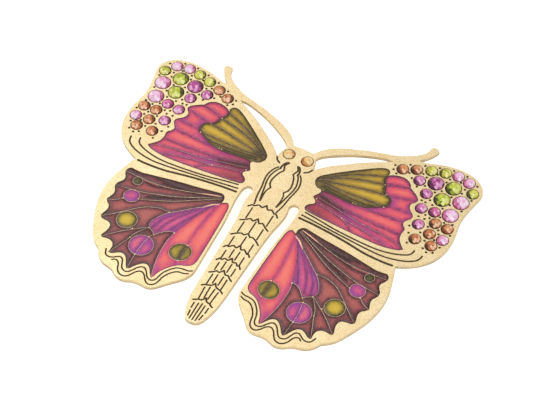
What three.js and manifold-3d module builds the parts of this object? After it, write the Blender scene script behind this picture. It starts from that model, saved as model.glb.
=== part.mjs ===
// Butterfly brooch. One etched brass plate carries six enamel inlays and 48 crystals, and on
// its back a bar pin finding: a hinged stem that closes into a safety catch with a turning sleeve.
// Millimetres. +X is to the viewer's right, +Y is towards the head, +Z is out of the decorated
// face. The brooch lies face up and z = 0 is the underside of the finding.
import * as THREE from "three";
import { mergeVertices } from "three/addons/utils/BufferGeometryUtils.js";
import Module from "manifold-3d";

// Plate
const PLATE_THICKNESS = 0.8;
const CURVE_TOLERANCE = 0.02; // how far a facet may stray from the true curve
const CURVE_STEP = 0.12; // spacing of the points that a curve is first sampled at
const WELD = 1e-4; // corners closer than this are one corner

// Enamel inlays, in pockets etched into the plate
const ENAMEL_POCKET_DEPTH = 0.3;
const ENAMEL_RECESS = 0.05; // the enamel's surface lies this far below the plate's face
const ENAMEL_GAP = 0.04; // clearance round an inlay
const PARTITION = 0.2; // thickness of the metal wall between two inlays

// Crystals, flat-backed, in round seats
const CRYSTAL_RADIUS = { small: 1.0, large: 1.36 };
const CRYSTAL_SIDES = 10;
const SEAT_CLEARANCE = 0.07;
const SEAT_SIDES = 14;
const SEAT_DEPTH = 0.45;
const GIRDLE_HALF_HEIGHT = 0.05;
const CROWN_SHARE = 0.42; // height of the crown as a share of the crystal's radius
const TABLE_SHARE = 0.56; // radius of the flat table as a share of the crystal's radius
const BACK_SHARE = 0.78; // radius of the flat back as a share of the crystal's radius

// Bar pin finding
const FINDING_Y = 7;
const BAR_LENGTH = 30;
const BAR_WIDTH = 4;
const BAR_THICKNESS = 0.6;
const BAR_CORNER = 1.2;
const BAR_HOLE_RADIUS = 0.75;
const BAR_HOLE_X = 5;
const CORNER_SEGMENTS = 8;
const AXIS_Z = 1.5; // height of the stem, of its hinge and of the catch
const NECK_HEIGHT = 1.0;
const ROUND_SEGMENTS = 12;

// Hinge end
const HINGE_X = -13;
const EAR_RADIUS = 1.5;
const EAR_THICKNESS = 0.5;
const EAR_BORE = 0.4;
const EYE_OUTER = 0.9;
const EYE_BORE = 0.43;
const EYE_WIDTH = 0.9;
const EYE_SIDE_GAP = 0.05;
const RIVET_RADIUS = 0.35;
const RIVET_HEAD_RADIUS = 0.62;
const RIVET_HEAD_HEIGHT = 0.3;
const RIVET_CREST_SHARE = 0.7; // radius of the head's flat crest as a share of the head's radius
const RIVET_SIDES = 24;

// Stem
const STEM_RADIUS = 0.4;
const STEM_TIP_X = 16.6;
const STEM_TAPER = 3.4;
const TAPER_WAIST = { radius: 0.62, length: 0.4 }; // shares, where the taper steepens
const STEM_SIDES = 16;
const EYE_OVERLAP = 0.02; // how far the wire starts below the middle of the eye's wall

// Catch end
const CATCH_X = 13;
const HOUSING_LENGTH = 3.4;
const HOUSING_OUTER = AXIS_Z;
const HOUSING_BORE = 1.05;
const HOUSING_MOUTH = 1.1;
const NECK_HALF_WIDTH = 0.9;
const NECK_START = 0.78; // where the neck leaves the barrel, as a share of its radius
const SLEEVE_OUTER = 0.97;
const SLEEVE_BORE = 0.55;
const SLEEVE_MOUTH = 1.0;
const FLANGE_RADIUS = 1.3;
const FLANGE_THICKNESS = 0.4;
const COLLAR_THICKNESS = 0.7;
const SLEEVE_END_PLAY = 0.1;
const LEVER_REACH = 2.2;
const LEVER_WIDTH = 0.7;
const LEVER_TIP_SIDES = 16;
const LEVER_ANGLE = -150; // degrees from +Y towards +Z when the catch is open

// Heights that follow from the sizes above
const BAR_UNDERSIDE = AXIS_Z + HOUSING_OUTER + NECK_HEIGHT;
const PLATE_BACK = BAR_UNDERSIDE + BAR_THICKNESS;
const PLATE_FACE = PLATE_BACK + PLATE_THICKNESS;

// Right half of the plate's outline, clockwise from the middle of the head to the end of the
// tail. Each list is one smooth run, and the outline has a corner where two runs meet.
const HALF_OUTLINE = [
  // head, then the upper edge of the antenna
  [[0, 14.95], [0.9, 14.9], [1.85, 14.8]],
  [[1.85, 14.8], [2.3, 15.4], [3.1, 16.35], [4, 17.1], [5, 17.72], [6, 18.22], [8, 19.0], [10, 19.7],
    [13, 20.48], [15, 21.05], [16.5, 21.75], [17.5, 22.3], [18.4, 22.98], [19.1, 23.75], [19.45, 24.5],
    [19.55, 25.05]],
  // blunt tip of the antenna
  [[19.55, 25.05], [19.7, 25.38], [20.15, 25.5], [20.8, 25.36], [21.05, 25.1], [21.0, 24.75]],
  [[21.0, 24.75], [20.7, 24.05], [20.1, 23.12], [19.5, 22.42], [18.85, 21.7]],
  // top, tip and lower edge of the forewing
  [[18.85, 21.7], [19.8, 21.8], [20.8, 22.08], [22, 22.5], [23.7, 22.93], [26.1, 23.17], [27.9, 23.02],
    [29.1, 22.68], [30.1, 22.1], [30.95, 21.35], [31.4, 20.6], [31.6, 19.5], [31.3, 18], [30.92, 16],
    [30.7, 14.2], [30.7, 13], [30.85, 12], [31.15, 10.2], [31.25, 9], [31.15, 7], [30.8, 5.5],
    [30.15, 4], [29.3, 2.85], [28.45, 1.98], [27.4, 1.2], [26.4, 0.62], [25.5, 0.2], [24.95, -0.05]],
  // side of the hindwing
  [[24.95, -0.05], [25.3, -0.95], [25.88, -3], [26.42, -5], [26.65, -7.2], [26.5, -9.4], [25.88, -12],
    [25.05, -14.1], [24.05, -16.1], [23.1, -17.75], [22.2, -18.7], [21.05, -19.48]],
  // scalloped foot of the hindwing, up its inner edge and round the end of the slot
  [[21.05, -19.48], [20.8, -20.0], [20.35, -20.65], [19.8, -21.18], [19.0, -21.65], [18.0, -21.92],
    [17.2, -22.1], [16.6, -22.42], [16.0, -22.86], [15.3, -23.17], [14.5, -23.3], [13.8, -23.15],
    [13.0, -22.83], [12.2, -22.65], [11.4, -22.62], [10.6, -22.72], [9.9, -22.72], [9.2, -22.5],
    [8.65, -22.1], [8.0, -21.4], [7.2, -20.5], [6.4, -19.7], [5.6, -18.88], [4.95, -18.05],
    [4.55, -17.2], [4.37, -16.5], [4.35, -15.6], [4.48, -13], [4.63, -9], [4.87, -4.5], [5.14, -2.4],
    [5.36, -0.4], [5.42, 1.4], [5.38, 2.5], [5.05, 3.3], [4.5, 3.62], [3.95, 3.45], [3.6, 2.95],
    [3.58, 2.45], [3.74, 1.9]],
  // side and end of the abdomen
  [[3.74, 1.9], [3.82, 1], [3.78, 0], [3.66, -1], [3.47, -2.1], [3.28, -3.4], [3.09, -7], [2.96, -11],
    [2.83, -15], [2.75, -18.5], [2.57, -21], [2.4, -22], [2.14, -23.1], [1.76, -24.2], [1.26, -25.05],
    [0.68, -25.42], [0, -25.5]],
];

// Opening between the antenna and the forewing
const ANTENNA_GAP = [
  [[2.85, 13.9], [3.1, 14.35], [3.5, 14.82], [4.2, 15.38], [5, 15.95], [6, 16.55], [8, 17.62],
    [10, 18.47], [12, 19.14], [13.6, 19.52], [14.95, 19.62]],
  [[14.95, 19.62], [14.3, 19.15], [13, 18.48], [12, 17.92], [10, 16.75], [8, 15.35], [6, 13.95],
    [5, 13.12], [4.1, 12.25], [3.42, 11.5]],
  [[3.42, 11.5], [3.42, 12.1], [3.32, 12.7], [3.12, 13.3], [2.85, 13.9]],
];

// Scalloped partition between the olive fan and the rose field, from its top to its bottom
const FORE_PARTITION = [
  [[15.3, 16.1], [15.4, 15.5], [15.6, 15.0], [15.95, 14.55]],
  [[15.95, 14.55], [16.12, 13.9], [16.4, 13.2], [17.0, 12.6]],
  [[17.0, 12.6], [17.6, 12.42], [18.05, 12.1], [18.3, 11.5], [18.22, 10.8], [17.9, 10.25]],
  [[17.9, 10.25], [17.2, 9.95], [16.2, 9.3], [15.2, 8.78], [14, 8.45], [12.6, 8.3], [10, 8.45],
    [8.2, 8.62], [6.75, 8.45]],
];

// The fan's other sides, from the bottom of the partition round to its top
const FAN_EDGE = [
  [[6.75, 8.45], [5.7, 8.78], [5.12, 9.35], [4.88, 10.0], [4.95, 10.5], [5.3, 11.1], [7, 12.58],
    [9, 14.12], [10.5, 15.2], [12, 16.25], [13.3, 17.07], [14.2, 17.5], [14.9, 17.6], [15.35, 17.3],
    [15.5, 16.8], [15.3, 16.1]],
];

// The rose field's other sides, from the top of the partition round to its bottom
const ROSE_EDGE = [
  [[15.3, 16.1], [15.75, 16.55], [16.6, 16.98], [17.6, 17.2], [18.6, 17.12], [19.3, 16.78],
    [19.8, 16.25], [20.05, 15.75]],
  [[20.05, 15.75], [20.7, 15.35], [21.5, 14.85], [22.1, 14.3], [22.28, 13.85], [22.1, 13.4],
    [21.7, 13.0], [21.55, 12.55], [21.65, 12.0], [22.0, 11.5], [22.6, 11.0], [22.95, 10.55],
    [22.95, 10.05], [22.65, 9.6], [22.27, 9.1], [22.15, 8.6], [22.4, 8.05], [22.85, 7.65]],
  [[22.85, 7.65], [22.97, 7.3], [22.85, 6.6], [22.88, 5.9], [23.1, 5.2], [23.55, 4.55],
    [24.05, 4.05], [24.5, 3.6]],
  [[24.5, 3.6], [24.0, 3.2], [23, 2.9], [21.5, 2.64], [20, 2.54], [18, 2.6], [15, 2.75], [12, 2.95],
    [9, 3.15], [7.2, 3.33], [6.3, 3.5], [5.95, 3.85], [5.95, 4.3], [6.3, 4.8], [6.8, 5.15],
    [7.05, 5.5], [6.95, 5.92], [6.55, 6.3], [6.15, 6.6]],
  [[6.15, 6.6], [6.4, 7.1], [6.75, 7.65], [6.9, 8.05], [6.75, 8.45]],
];

// Window of the hindwing
const HIND_EDGE = [
  [[7.25, -1.9], [7.12, -1.3], [7.2, -0.7], [7.55, -0.2], [8.1, 0.0], [9, -0.15], [10, -0.33],
    [12, -0.65], [15, -1.03], [17, -1.32], [19, -1.68], [21, -2.08], [22.4, -2.3], [23.6, -2.28],
    [24.5, -2.2], [24.95, -2.6]],
  [[24.95, -2.6], [25.02, -3.2], [24.75, -3.8], [24.42, -4.3], [24.35, -4.9], [24.6, -5.45],
    [25.0, -6.0], [25.1, -6.6], [24.9, -7.15], [24.55, -7.7], [24.45, -8.4], [24.65, -9.1],
    [24.92, -9.85]],
  [[24.92, -9.85], [24.5, -10.4], [24.0, -10.75], [23.75, -11.3], [23.75, -12.0], [24.0, -12.8],
    [24.05, -13.35]],
  [[24.05, -13.35], [23.7, -13.7], [22.9, -13.8], [22.1, -13.95], [21.65, -14.35], [21.5, -15.0],
    [21.6, -15.8], [21.85, -16.5], [21.9, -17.0]],
  [[21.9, -17.0], [21.5, -17.12], [20.4, -17.0], [19.7, -17.2], [19.2, -17.75], [19.05, -18.5],
    [19.1, -19.35]],
  [[19.1, -19.35], [18.6, -19.35], [18.1, -19.05], [17.55, -18.65], [16.9, -18.48], [16.3, -18.65],
    [15.85, -19.1], [15.4, -19.85], [15.05, -20.5], [14.75, -20.88]],
  [[14.75, -20.88], [14.35, -20.6], [13.95, -20.0], [13.5, -19.4], [12.9, -18.85], [12.3, -18.62],
    [11.7, -18.78], [11.2, -19.25], [10.8, -19.9], [10.2, -20.62]],
  [[10.2, -20.62], [9.95, -20.2], [9.75, -19.4], [9.35, -18.6], [8.65, -17.6], [7.85, -16.75],
    [7.0, -16.2], [6.2, -15.95], [5.55, -15.55], [5.15, -15.0], [5.02, -14.2], [5.05, -12],
    [5.15, -9], [5.3, -6], [5.45, -3.5], [5.6, -2.3], [5.85, -1.65], [6.25, -1.35], [6.7, -1.55],
    [7.25, -1.9]],
];

// Colour, roughness and metalness of each material
const FINISH = {
  brass: [0xf0d9a4, 0.45, 1],
  finding_brass: [0xd9b878, 0.35, 1],
  olive_enamel: [0xb89b3c, 0.25, 0],
  rose_enamel: [0xd85f7c, 0.25, 0],
  plum_enamel: [0x7d4a4c, 0.25, 0],
  topaz: [0xcd8250, 0.1, 0],
  olive: [0xd6d870, 0.1, 0],
  pink: [0xf6c4e4, 0.1, 0],
  rose: [0xe08cbe, 0.1, 0],
  amethyst: [0xbe5aa0, 0.1, 0],
  peridot: [0xc6d04c, 0.1, 0],
  fuchsia: [0xd45c9c, 0.1, 0],
  champagne: [0xf8d89a, 0.1, 0],
};

// Crystals of the right forewing: x, y, size, colour. The left wing mirrors them. The places began
// as the average of both wings that a camera fit gave, and were then moved a little by hand.
const WING_CRYSTALS = [
  [17.1, 18.8, "small", "topaz"],
  [19.28, 19.78, "small", "topaz"],
  [21.68, 20.68, "small", "olive"],
  [24.03, 21.34, "small", "olive"],
  [26.3, 21.67, "small", "pink"],
  [28.55, 21.2, "small", "pink"],
  [30.02, 19.39, "small", "olive"],
  [20.72, 17.9, "small", "rose"],
  [23.48, 18.61, "large", "amethyst"],
  [26.62, 19.0, "large", "peridot"],
  [29.04, 16.8, "large", "pink"],
  [22.96, 15.9, "small", "rose"],
  [25.9, 15.93, "large", "peridot"],
  [28.6, 13.56, "large", "pink"],
  [23.55, 12.73, "small", "rose"],
  [25.9, 13.0, "small", "fuchsia"],
  [24.55, 9.48, "small", "rose"],
  [27.05, 10.9, "small", "topaz"],
  [29.35, 10.77, "small", "topaz"],
  [27.12, 8.48, "small", "topaz"],
  [29.65, 8.3, "small", "pink"],
  [25.38, 6.48, "small", "topaz"],
  [28.43, 6.4, "small", "topaz"],
];
const EYE_CRYSTAL = [1.76, 12.8, "small", "champagne"];

const SIDES = { left: -1, right: 1 };
const wasm = await Module();
wasm.setup();

const brooch = new THREE.Group();

// Adds one named piece to the brooch.
function addPiece(name, geometry, finish) {
  const [color, roughness, metalness] = FINISH[finish];
  const mesh = new THREE.Mesh(geometry, new THREE.MeshStandardMaterial({ color, roughness, metalness }));
  mesh.name = name;
  brooch.add(mesh);
}

// A closed geometry as a solid that can be joined and cut.
function solidFrom(geometry) {
  const bare = geometry.clone();
  bare.deleteAttribute("normal");
  bare.deleteAttribute("uv");
  const merged = mergeVertices(bare, WELD);
  return new wasm.Manifold(
    new wasm.Mesh({
      numProp: 3,
      vertProperties: new Float32Array(merged.attributes.position.array),
      triVerts: new Uint32Array(merged.index.array),
    }),
  );
}

function geometryFrom(solid) {
  const { vertProperties, triVerts } = solid.getMesh();
  const geometry = new THREE.BufferGeometry();
  geometry.setAttribute("position", new THREE.BufferAttribute(vertProperties, 3));
  geometry.setIndex(new THREE.BufferAttribute(triVerts, 1));
  geometry.computeVertexNormals();
  return geometry;
}

const joined = (geometries) => geometries.map(solidFrom).reduce((all, one) => all.add(one));

// Drops the points of a polyline that lie within the tolerance of the chord past them.
function simplified(points) {
  if (points.length < 3) return points;
  const first = points[0];
  const last = points[points.length - 1];
  const chord = last.clone().sub(first);
  const length = chord.length();
  let far = 0;
  let farthest = 0;
  points.forEach((point, i) => {
    const offset = point.clone().sub(first);
    const away = length > 0 ? Math.abs(offset.cross(chord)) / length : offset.length();
    if (away > farthest) [far, farthest] = [i, away];
  });
  if (farthest < CURVE_TOLERANCE) return [first, last];
  return [...simplified(points.slice(0, far + 1)).slice(0, -1), ...simplified(points.slice(far))];
}

// The points along one smooth run.
function alongRun(run) {
  const knots = run.map(([x, y]) => new THREE.Vector3(x, y, 0));
  const curve = new THREE.CatmullRomCurve3(knots, false, "centripetal");
  const count = Math.max(4, Math.ceil(curve.getLength() / CURVE_STEP));
  return simplified(curve.getSpacedPoints(count).map(({ x, y }) => new THREE.Vector2(x, y)));
}

// The points along several runs that follow each other, each shared end once.
const alongRuns = (runs) => runs.flatMap((run, i) => alongRun(run).slice(i ? 1 : 0));

// A closed loop of runs, without its repeated last point.
const loopOf = (runs) => alongRuns(runs).slice(0, -1);

const mirrored = (points) => points.map(({ x, y }) => new THREE.Vector2(-x, y)).reverse();
const onSide = (points, side) => (SIDES[side] < 0 ? mirrored(points) : points);

// The points moved sideways by a distance, to the left of the way they run when it is positive.
function movedAside(points, distance, closed) {
  const count = points.length;
  const at = (i) => points[closed ? (i + count) % count : THREE.MathUtils.clamp(i, 0, count - 1)];
  return points.map((point, i) => {
    const before = point.clone().sub(at(i - 1)).normalize();
    const after = at(i + 1).clone().sub(point).normalize();
    const along = before.clone().add(after).normalize();
    const left = new THREE.Vector2(-along.y, along.x);
    const turn = Math.max(0.5, Math.sqrt(Math.max(0, (1 + before.dot(after)) / 2)));
    const stretch = before.lengthSq() && after.lengthSq() ? 1 / turn : 1;
    return point.clone().addScaledVector(left, distance * stretch);
  });
}

// A loop drawn in by a distance, whichever way round it runs.
function drawnIn(loop, distance) {
  const inward = THREE.ShapeUtils.isClockWise(loop) ? -distance : distance;
  return movedAside(loop, inward, true);
}

// A slab with the given outline, between two heights.
function slab(loop, low, high) {
  const settings = { depth: high - low, bevelEnabled: false };
  return new THREE.ExtrudeGeometry(new THREE.Shape(loop), settings).translate(0, 0, low);
}

function circle(x, y, radius, sides) {
  return Array.from({ length: sides }, (_, i) => {
    const angle = (2 * Math.PI * i) / sides;
    return new THREE.Vector2(x + radius * Math.cos(angle), y + radius * Math.sin(angle));
  });
}

// Windows of one wing pair, as the pockets' outlines. The two forewing pockets share the
// partition, and each stands back from its middle by half its thickness.
function windowLoops() {
  const partition = alongRuns(FORE_PARTITION);
  const fanSide = movedAside(partition, -PARTITION / 2, false);
  const roseSide = movedAside(partition, PARTITION / 2, false).reverse();
  return {
    forewing_olive: [...fanSide, ...alongRuns(FAN_EDGE).slice(1, -1)],
    forewing_rose: [...roseSide, ...alongRuns(ROSE_EDGE).slice(1, -1)],
    hindwing: loopOf(HIND_EDGE),
  };
}

const WINDOW_ENAMEL = {
  forewing_olive: "olive_enamel",
  forewing_rose: "rose_enamel",
  hindwing: "plum_enamel",
};

// Every crystal with its node name and its place on its own side.
function allCrystals() {
  const crystals = [];
  for (const [side, sign] of Object.entries(SIDES)) {
    WING_CRYSTALS.forEach(([x, y, size, colour], i) => {
      const name = `crystal_${side}_${String(i + 1).padStart(2, "0")}`;
      crystals.push({ name, x: sign * x, y, radius: CRYSTAL_RADIUS[size], colour });
    });
    const [x, y, size, colour] = EYE_CRYSTAL;
    crystals.push({ name: `eye_${side}`, x: sign * x, y, radius: CRYSTAL_RADIUS[size], colour });
  }
  return crystals;
}

// The plate: outline, two antenna gaps right through, pockets for the enamel, crystal seats.
function makePlate(windows, crystals) {
  const rightHalf = alongRuns(HALF_OUTLINE);
  const outline = [...rightHalf, ...mirrored(rightHalf).slice(1, -1)];
  const body = slab(outline, PLATE_BACK, PLATE_FACE);
  const cutTop = PLATE_FACE + PLATE_THICKNESS;
  const cutBottom = PLATE_BACK - PLATE_THICKNESS;
  const bothSides = (loop, low) => [loop, mirrored(loop)].map((one) => slab(one, low, cutTop));
  const gaps = bothSides(loopOf(ANTENNA_GAP), cutBottom);
  const pockets = Object.values(windows).flatMap((loop) =>
    bothSides(loop, PLATE_FACE - ENAMEL_POCKET_DEPTH),
  );
  const seats = crystals.map(({ x, y, radius }) =>
    slab(circle(x, y, radius + SEAT_CLEARANCE, SEAT_SIDES), PLATE_FACE - SEAT_DEPTH, cutTop),
  );
  return geometryFrom(solidFrom(body).subtract(joined([...gaps, ...pockets, ...seats])));
}

// An inlay fills its pocket up to just below the plate's face.
function makeInlay(loop) {
  const low = PLATE_FACE - ENAMEL_POCKET_DEPTH;
  return slab(drawnIn(loop, ENAMEL_GAP), low, PLATE_FACE - ENAMEL_RECESS);
}

// A flat-backed crystal: back, belt under the girdle, girdle, crown and table.
function makeCrystal({ x, y, radius }) {
  const profile = [
    [0, PLATE_FACE - SEAT_DEPTH],
    [radius * BACK_SHARE, PLATE_FACE - SEAT_DEPTH],
    [radius, PLATE_FACE - GIRDLE_HALF_HEIGHT],
    [radius, PLATE_FACE + GIRDLE_HALF_HEIGHT],
    [radius * TABLE_SHARE, PLATE_FACE + radius * CROWN_SHARE],
    [0, PLATE_FACE + radius * CROWN_SHARE],
  ].map(([r, z]) => new THREE.Vector2(r, z));
  const turned = new THREE.LatheGeometry(profile, CRYSTAL_SIDES).rotateX(Math.PI / 2);
  return turned.translate(x, y, 0);
}

const X_AXIS = new THREE.Vector3(1, 0, 0);
const Y_AXIS = new THREE.Vector3(0, 1, 0);
const Z_AXIS = new THREE.Vector3(0, 0, 1);

// A shape drawn as (y, z) about the catch's axis, extruded along X.
function alongX(shape, from, to) {
  const geometry = new THREE.ExtrudeGeometry(shape, {
    depth: to - from,
    bevelEnabled: false,
    curveSegments: ROUND_SEGMENTS,
  });
  const basis = new THREE.Matrix4().makeBasis(Y_AXIS, Z_AXIS, X_AXIS);
  return geometry.applyMatrix4(basis).translate(from, FINDING_Y, AXIS_Z);
}

// A shape drawn as (z, x) about the hinge's axis, extruded along Y.
function alongY(shape, from, to) {
  const geometry = new THREE.ExtrudeGeometry(shape, {
    depth: to - from,
    bevelEnabled: false,
    curveSegments: ROUND_SEGMENTS,
  });
  const basis = new THREE.Matrix4().makeBasis(Z_AXIS, X_AXIS, Y_AXIS);
  return geometry.applyMatrix4(basis).translate(HINGE_X, FINDING_Y + from, AXIS_Z);
}

function roundHole(x, y, radius) {
  return new THREE.Path().absarc(x, y, radius, 0, 2 * Math.PI, true);
}

// The bar's flat strip, with round corners and two holes.
function makeStrip() {
  const [halfLength, halfWidth] = [BAR_LENGTH / 2, BAR_WIDTH / 2];
  const [cx, cy] = [halfLength - BAR_CORNER, halfWidth - BAR_CORNER];
  const shape = new THREE.Shape();
  shape.absarc(cx, cy, BAR_CORNER, 0, Math.PI / 2);
  shape.absarc(-cx, cy, BAR_CORNER, Math.PI / 2, Math.PI);
  shape.absarc(-cx, -cy, BAR_CORNER, Math.PI, 1.5 * Math.PI);
  shape.absarc(cx, -cy, BAR_CORNER, 1.5 * Math.PI, 2 * Math.PI);
  shape.holes = [-BAR_HOLE_X, BAR_HOLE_X].map((x) => roundHole(x, 0, BAR_HOLE_RADIUS));
  const geometry = new THREE.ExtrudeGeometry(shape, {
    depth: BAR_THICKNESS,
    bevelEnabled: false,
    curveSegments: CORNER_SEGMENTS,
  });
  return geometry.translate(0, FINDING_Y, BAR_UNDERSIDE);
}

// One hinge ear: it hangs from the bar and ends in a half round about the rivet.
function makeEar(from, to) {
  const top = BAR_UNDERSIDE + BAR_THICKNESS / 2 - AXIS_Z;
  const shape = new THREE.Shape();
  shape.moveTo(top, -EAR_RADIUS);
  shape.lineTo(top, EAR_RADIUS);
  shape.absarc(0, 0, EAR_RADIUS, Math.PI / 2, 1.5 * Math.PI);
  shape.holes = [roundHole(0, 0, EAR_BORE)];
  return alongY(shape, from, to);
}

function makePinBar() {
  const inner = EYE_WIDTH / 2 + EYE_SIDE_GAP;
  const outer = inner + EAR_THICKNESS;
  return geometryFrom(joined([makeStrip(), makeEar(inner, outer), makeEar(-outer, -inner)]));
}

// A rivet with two domed heads, through both ears and the stem's eye.
function makeRivet() {
  const half = EYE_WIDTH / 2 + EYE_SIDE_GAP + EAR_THICKNESS;
  const dome = [
    [RIVET_RADIUS, half],
    [RIVET_HEAD_RADIUS, half],
    [RIVET_HEAD_RADIUS, half + RIVET_HEAD_HEIGHT / 3],
    [RIVET_HEAD_RADIUS * RIVET_CREST_SHARE, half + RIVET_HEAD_HEIGHT],
    [0, half + RIVET_HEAD_HEIGHT],
  ];
  const below = dome.map(([r, y]) => [r, -y]).reverse();
  const profile = [...below, ...dome].map(([r, y]) => new THREE.Vector2(r, y));
  return new THREE.LatheGeometry(profile, RIVET_SIDES).translate(HINGE_X, FINDING_Y, AXIS_Z);
}

// The stem: an eye round the rivet, and a round wire that tapers to a point.
function makeStem() {
  const ring = new THREE.Shape().absarc(0, 0, EYE_OUTER, 0, 2 * Math.PI);
  ring.holes = [roundHole(0, 0, EYE_BORE)];
  const eye = alongY(ring, -EYE_WIDTH / 2, EYE_WIDTH / 2);
  const start = (EYE_BORE + EYE_OUTER) / 2 - EYE_OVERLAP;
  const length = STEM_TIP_X - HINGE_X;
  const profile = [
    [0, start],
    [STEM_RADIUS, start],
    [STEM_RADIUS, length - STEM_TAPER],
    [STEM_RADIUS * TAPER_WAIST.radius, length - STEM_TAPER * TAPER_WAIST.length],
    [0, length],
  ].map(([r, along]) => new THREE.Vector2(r, along));
  const wire = new THREE.LatheGeometry(profile, STEM_SIDES).rotateZ(-Math.PI / 2);
  wire.translate(HINGE_X, FINDING_Y, AXIS_Z);
  return geometryFrom(joined([eye, wire]));
}

// A C-shaped section: a ring with a parallel-sided mouth that faces down.
function cSection(outer, bore, mouth) {
  const down = -Math.PI / 2;
  const outerHalf = Math.asin(mouth / 2 / outer);
  const boreHalf = Math.asin(mouth / 2 / bore);
  const shape = new THREE.Shape();
  shape.absarc(0, 0, outer, down + outerHalf, down + 2 * Math.PI - outerHalf);
  shape.absarc(0, 0, bore, down + 2 * Math.PI - boreHalf, down + boreHalf, true);
  return shape;
}

// The catch's fixed housing: a C-shaped barrel on a neck that stands on the bar.
function makeCatchHousing() {
  const [from, to] = [CATCH_X - HOUSING_LENGTH / 2, CATCH_X + HOUSING_LENGTH / 2];
  const barrel = alongX(cSection(HOUSING_OUTER, HOUSING_BORE, HOUSING_MOUTH), from, to);
  const low = NECK_START * HOUSING_OUTER;
  const neck = new THREE.Shape(
    [
      [-NECK_HALF_WIDTH, low],
      [NECK_HALF_WIDTH, low],
      [NECK_HALF_WIDTH, HOUSING_OUTER + NECK_HEIGHT],
      [-NECK_HALF_WIDTH, HOUSING_OUTER + NECK_HEIGHT],
    ].map(([y, z]) => new THREE.Vector2(y, z)),
  );
  return geometryFrom(joined([barrel, alongX(neck, from, to)]));
}

// The lever's outline, reaching out from the sleeve's axis at the open angle.
function leverShape() {
  const half = LEVER_WIDTH / 2;
  const root = (SLEEVE_OUTER + FLANGE_RADIUS) / 2;
  const angle = THREE.MathUtils.degToRad(LEVER_ANGLE);
  const centre = LEVER_REACH - half;
  const tip = circle(centre, 0, half, LEVER_TIP_SIDES).filter(({ x }) => x >= centre - WELD);
  const top = tip.filter(({ y }) => y >= 0);
  const bottom = tip.filter(({ y }) => y < 0);
  const outline = [new THREE.Vector2(root, -half), ...bottom, ...top, new THREE.Vector2(root, half)];
  return new THREE.Shape(outline.map((point) => point.rotateAround(new THREE.Vector2(), angle)));
}

// The catch's turning sleeve: it runs in the housing between a flange and a collar, and the
// collar carries the lever.
function makeCatchSleeve() {
  const innerEnd = CATCH_X - HOUSING_LENGTH / 2 - SLEEVE_END_PLAY;
  const outerEnd = CATCH_X + HOUSING_LENGTH / 2 + SLEEVE_END_PLAY;
  const from = innerEnd - FLANGE_THICKNESS;
  const to = outerEnd + COLLAR_THICKNESS;
  const wide = cSection(FLANGE_RADIUS, SLEEVE_BORE, SLEEVE_MOUTH);
  return geometryFrom(
    joined([
      alongX(cSection(SLEEVE_OUTER, SLEEVE_BORE, SLEEVE_MOUTH), from, to),
      alongX(wide, from, innerEnd),
      alongX(wide, outerEnd, to),
      alongX(leverShape(), outerEnd, to),
    ]),
  );
}

const windows = windowLoops();
const crystals = allCrystals();
addPiece("wing_plate", makePlate(windows, crystals), "brass");
for (const [window, loop] of Object.entries(windows)) {
  for (const side of Object.keys(SIDES)) {
    addPiece(`enamel_${side}_${window}`, makeInlay(onSide(loop, side)), WINDOW_ENAMEL[window]);
  }
}
crystals.forEach((crystal) => addPiece(crystal.name, makeCrystal(crystal), crystal.colour));
addPiece("pin_bar", makePinBar(), "finding_brass");
addPiece("hinge_rivet", makeRivet(), "finding_brass");
addPiece("pin_stem", makeStem(), "finding_brass");
addPiece("catch_housing", makeCatchHousing(), "finding_brass");
addPiece("catch_sleeve", makeCatchSleeve(), "finding_brass");

export default brooch;
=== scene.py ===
"""The looks of a butterfly brooch: an etched, sandblasted brass plate with enamel inlays, fine
raised veins and foil-backed crystals, and on its back a bar pin with a safety catch.

Drawings are in millimetres in the plane of the plate, for the right half. The left half mirrors
them. The outline, windows, seats and heights of the plate are read from the frame. The sizes of the
finding repeat those of the part."""

import math

import bpy
import numpy as np
from mathutils import Matrix, Vector
from mathutils.geometry import delaunay_2d_cdt


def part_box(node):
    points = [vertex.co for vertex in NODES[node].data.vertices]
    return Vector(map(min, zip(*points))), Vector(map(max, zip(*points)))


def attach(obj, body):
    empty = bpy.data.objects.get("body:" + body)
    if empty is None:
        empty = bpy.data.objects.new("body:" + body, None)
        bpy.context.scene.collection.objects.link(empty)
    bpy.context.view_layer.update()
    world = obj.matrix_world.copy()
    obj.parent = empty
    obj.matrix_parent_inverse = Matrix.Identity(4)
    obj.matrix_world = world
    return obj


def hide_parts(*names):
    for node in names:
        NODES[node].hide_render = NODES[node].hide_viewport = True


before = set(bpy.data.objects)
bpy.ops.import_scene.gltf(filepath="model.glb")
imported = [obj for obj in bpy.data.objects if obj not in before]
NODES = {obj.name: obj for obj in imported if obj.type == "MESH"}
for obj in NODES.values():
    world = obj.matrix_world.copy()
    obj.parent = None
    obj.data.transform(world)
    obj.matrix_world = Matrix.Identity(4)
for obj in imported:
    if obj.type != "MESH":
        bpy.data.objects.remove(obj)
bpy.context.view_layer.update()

MM = 0.001
WELD = 1e-3
SIDES = {"left": -1, "right": 1}

# Plate relief
RIM = 0.1
RIM_SHOULDER = 0.04
# Painted shade on the rounded rim of the outline and the gaps, and on the plate's side walls
RIM_PAINTED_SHADE = 0.22
SIDE_PAINTED_SHADE = 0.42
BACK_PATINA = 0.08
WINDOW_BEVEL = 0.12
WINDOW_BEVEL_DROP = 0.07
SEAT_BEVEL = 0.08
WALL_LEAN = 0.03
GROOVE_DEPTH = 0.14
GROOVE_WIDENING = 1.25
GROOVE_FLOOR = 0.78
DOT_DEPTH = 0.2
DOT_FLOOR = 0.75
DOT_RADIUS = 0.25
DOT_SHIFT = 0.08

# Inlay relief
INLAY_GRID = 0.26
INLAY_MARGIN = 0.09
MENISCUS = 0.05
MENISCUS_WIDTH = 0.22
WIDEST_RIM = 1.15

# Raised veins
VEIN_HEIGHT = 0.045
RING_WIDTH = 0.09
BEAD_RADIUS = 0.14
RAY_GAP = 0.13
RAY_WIDTH = 0.05

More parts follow.
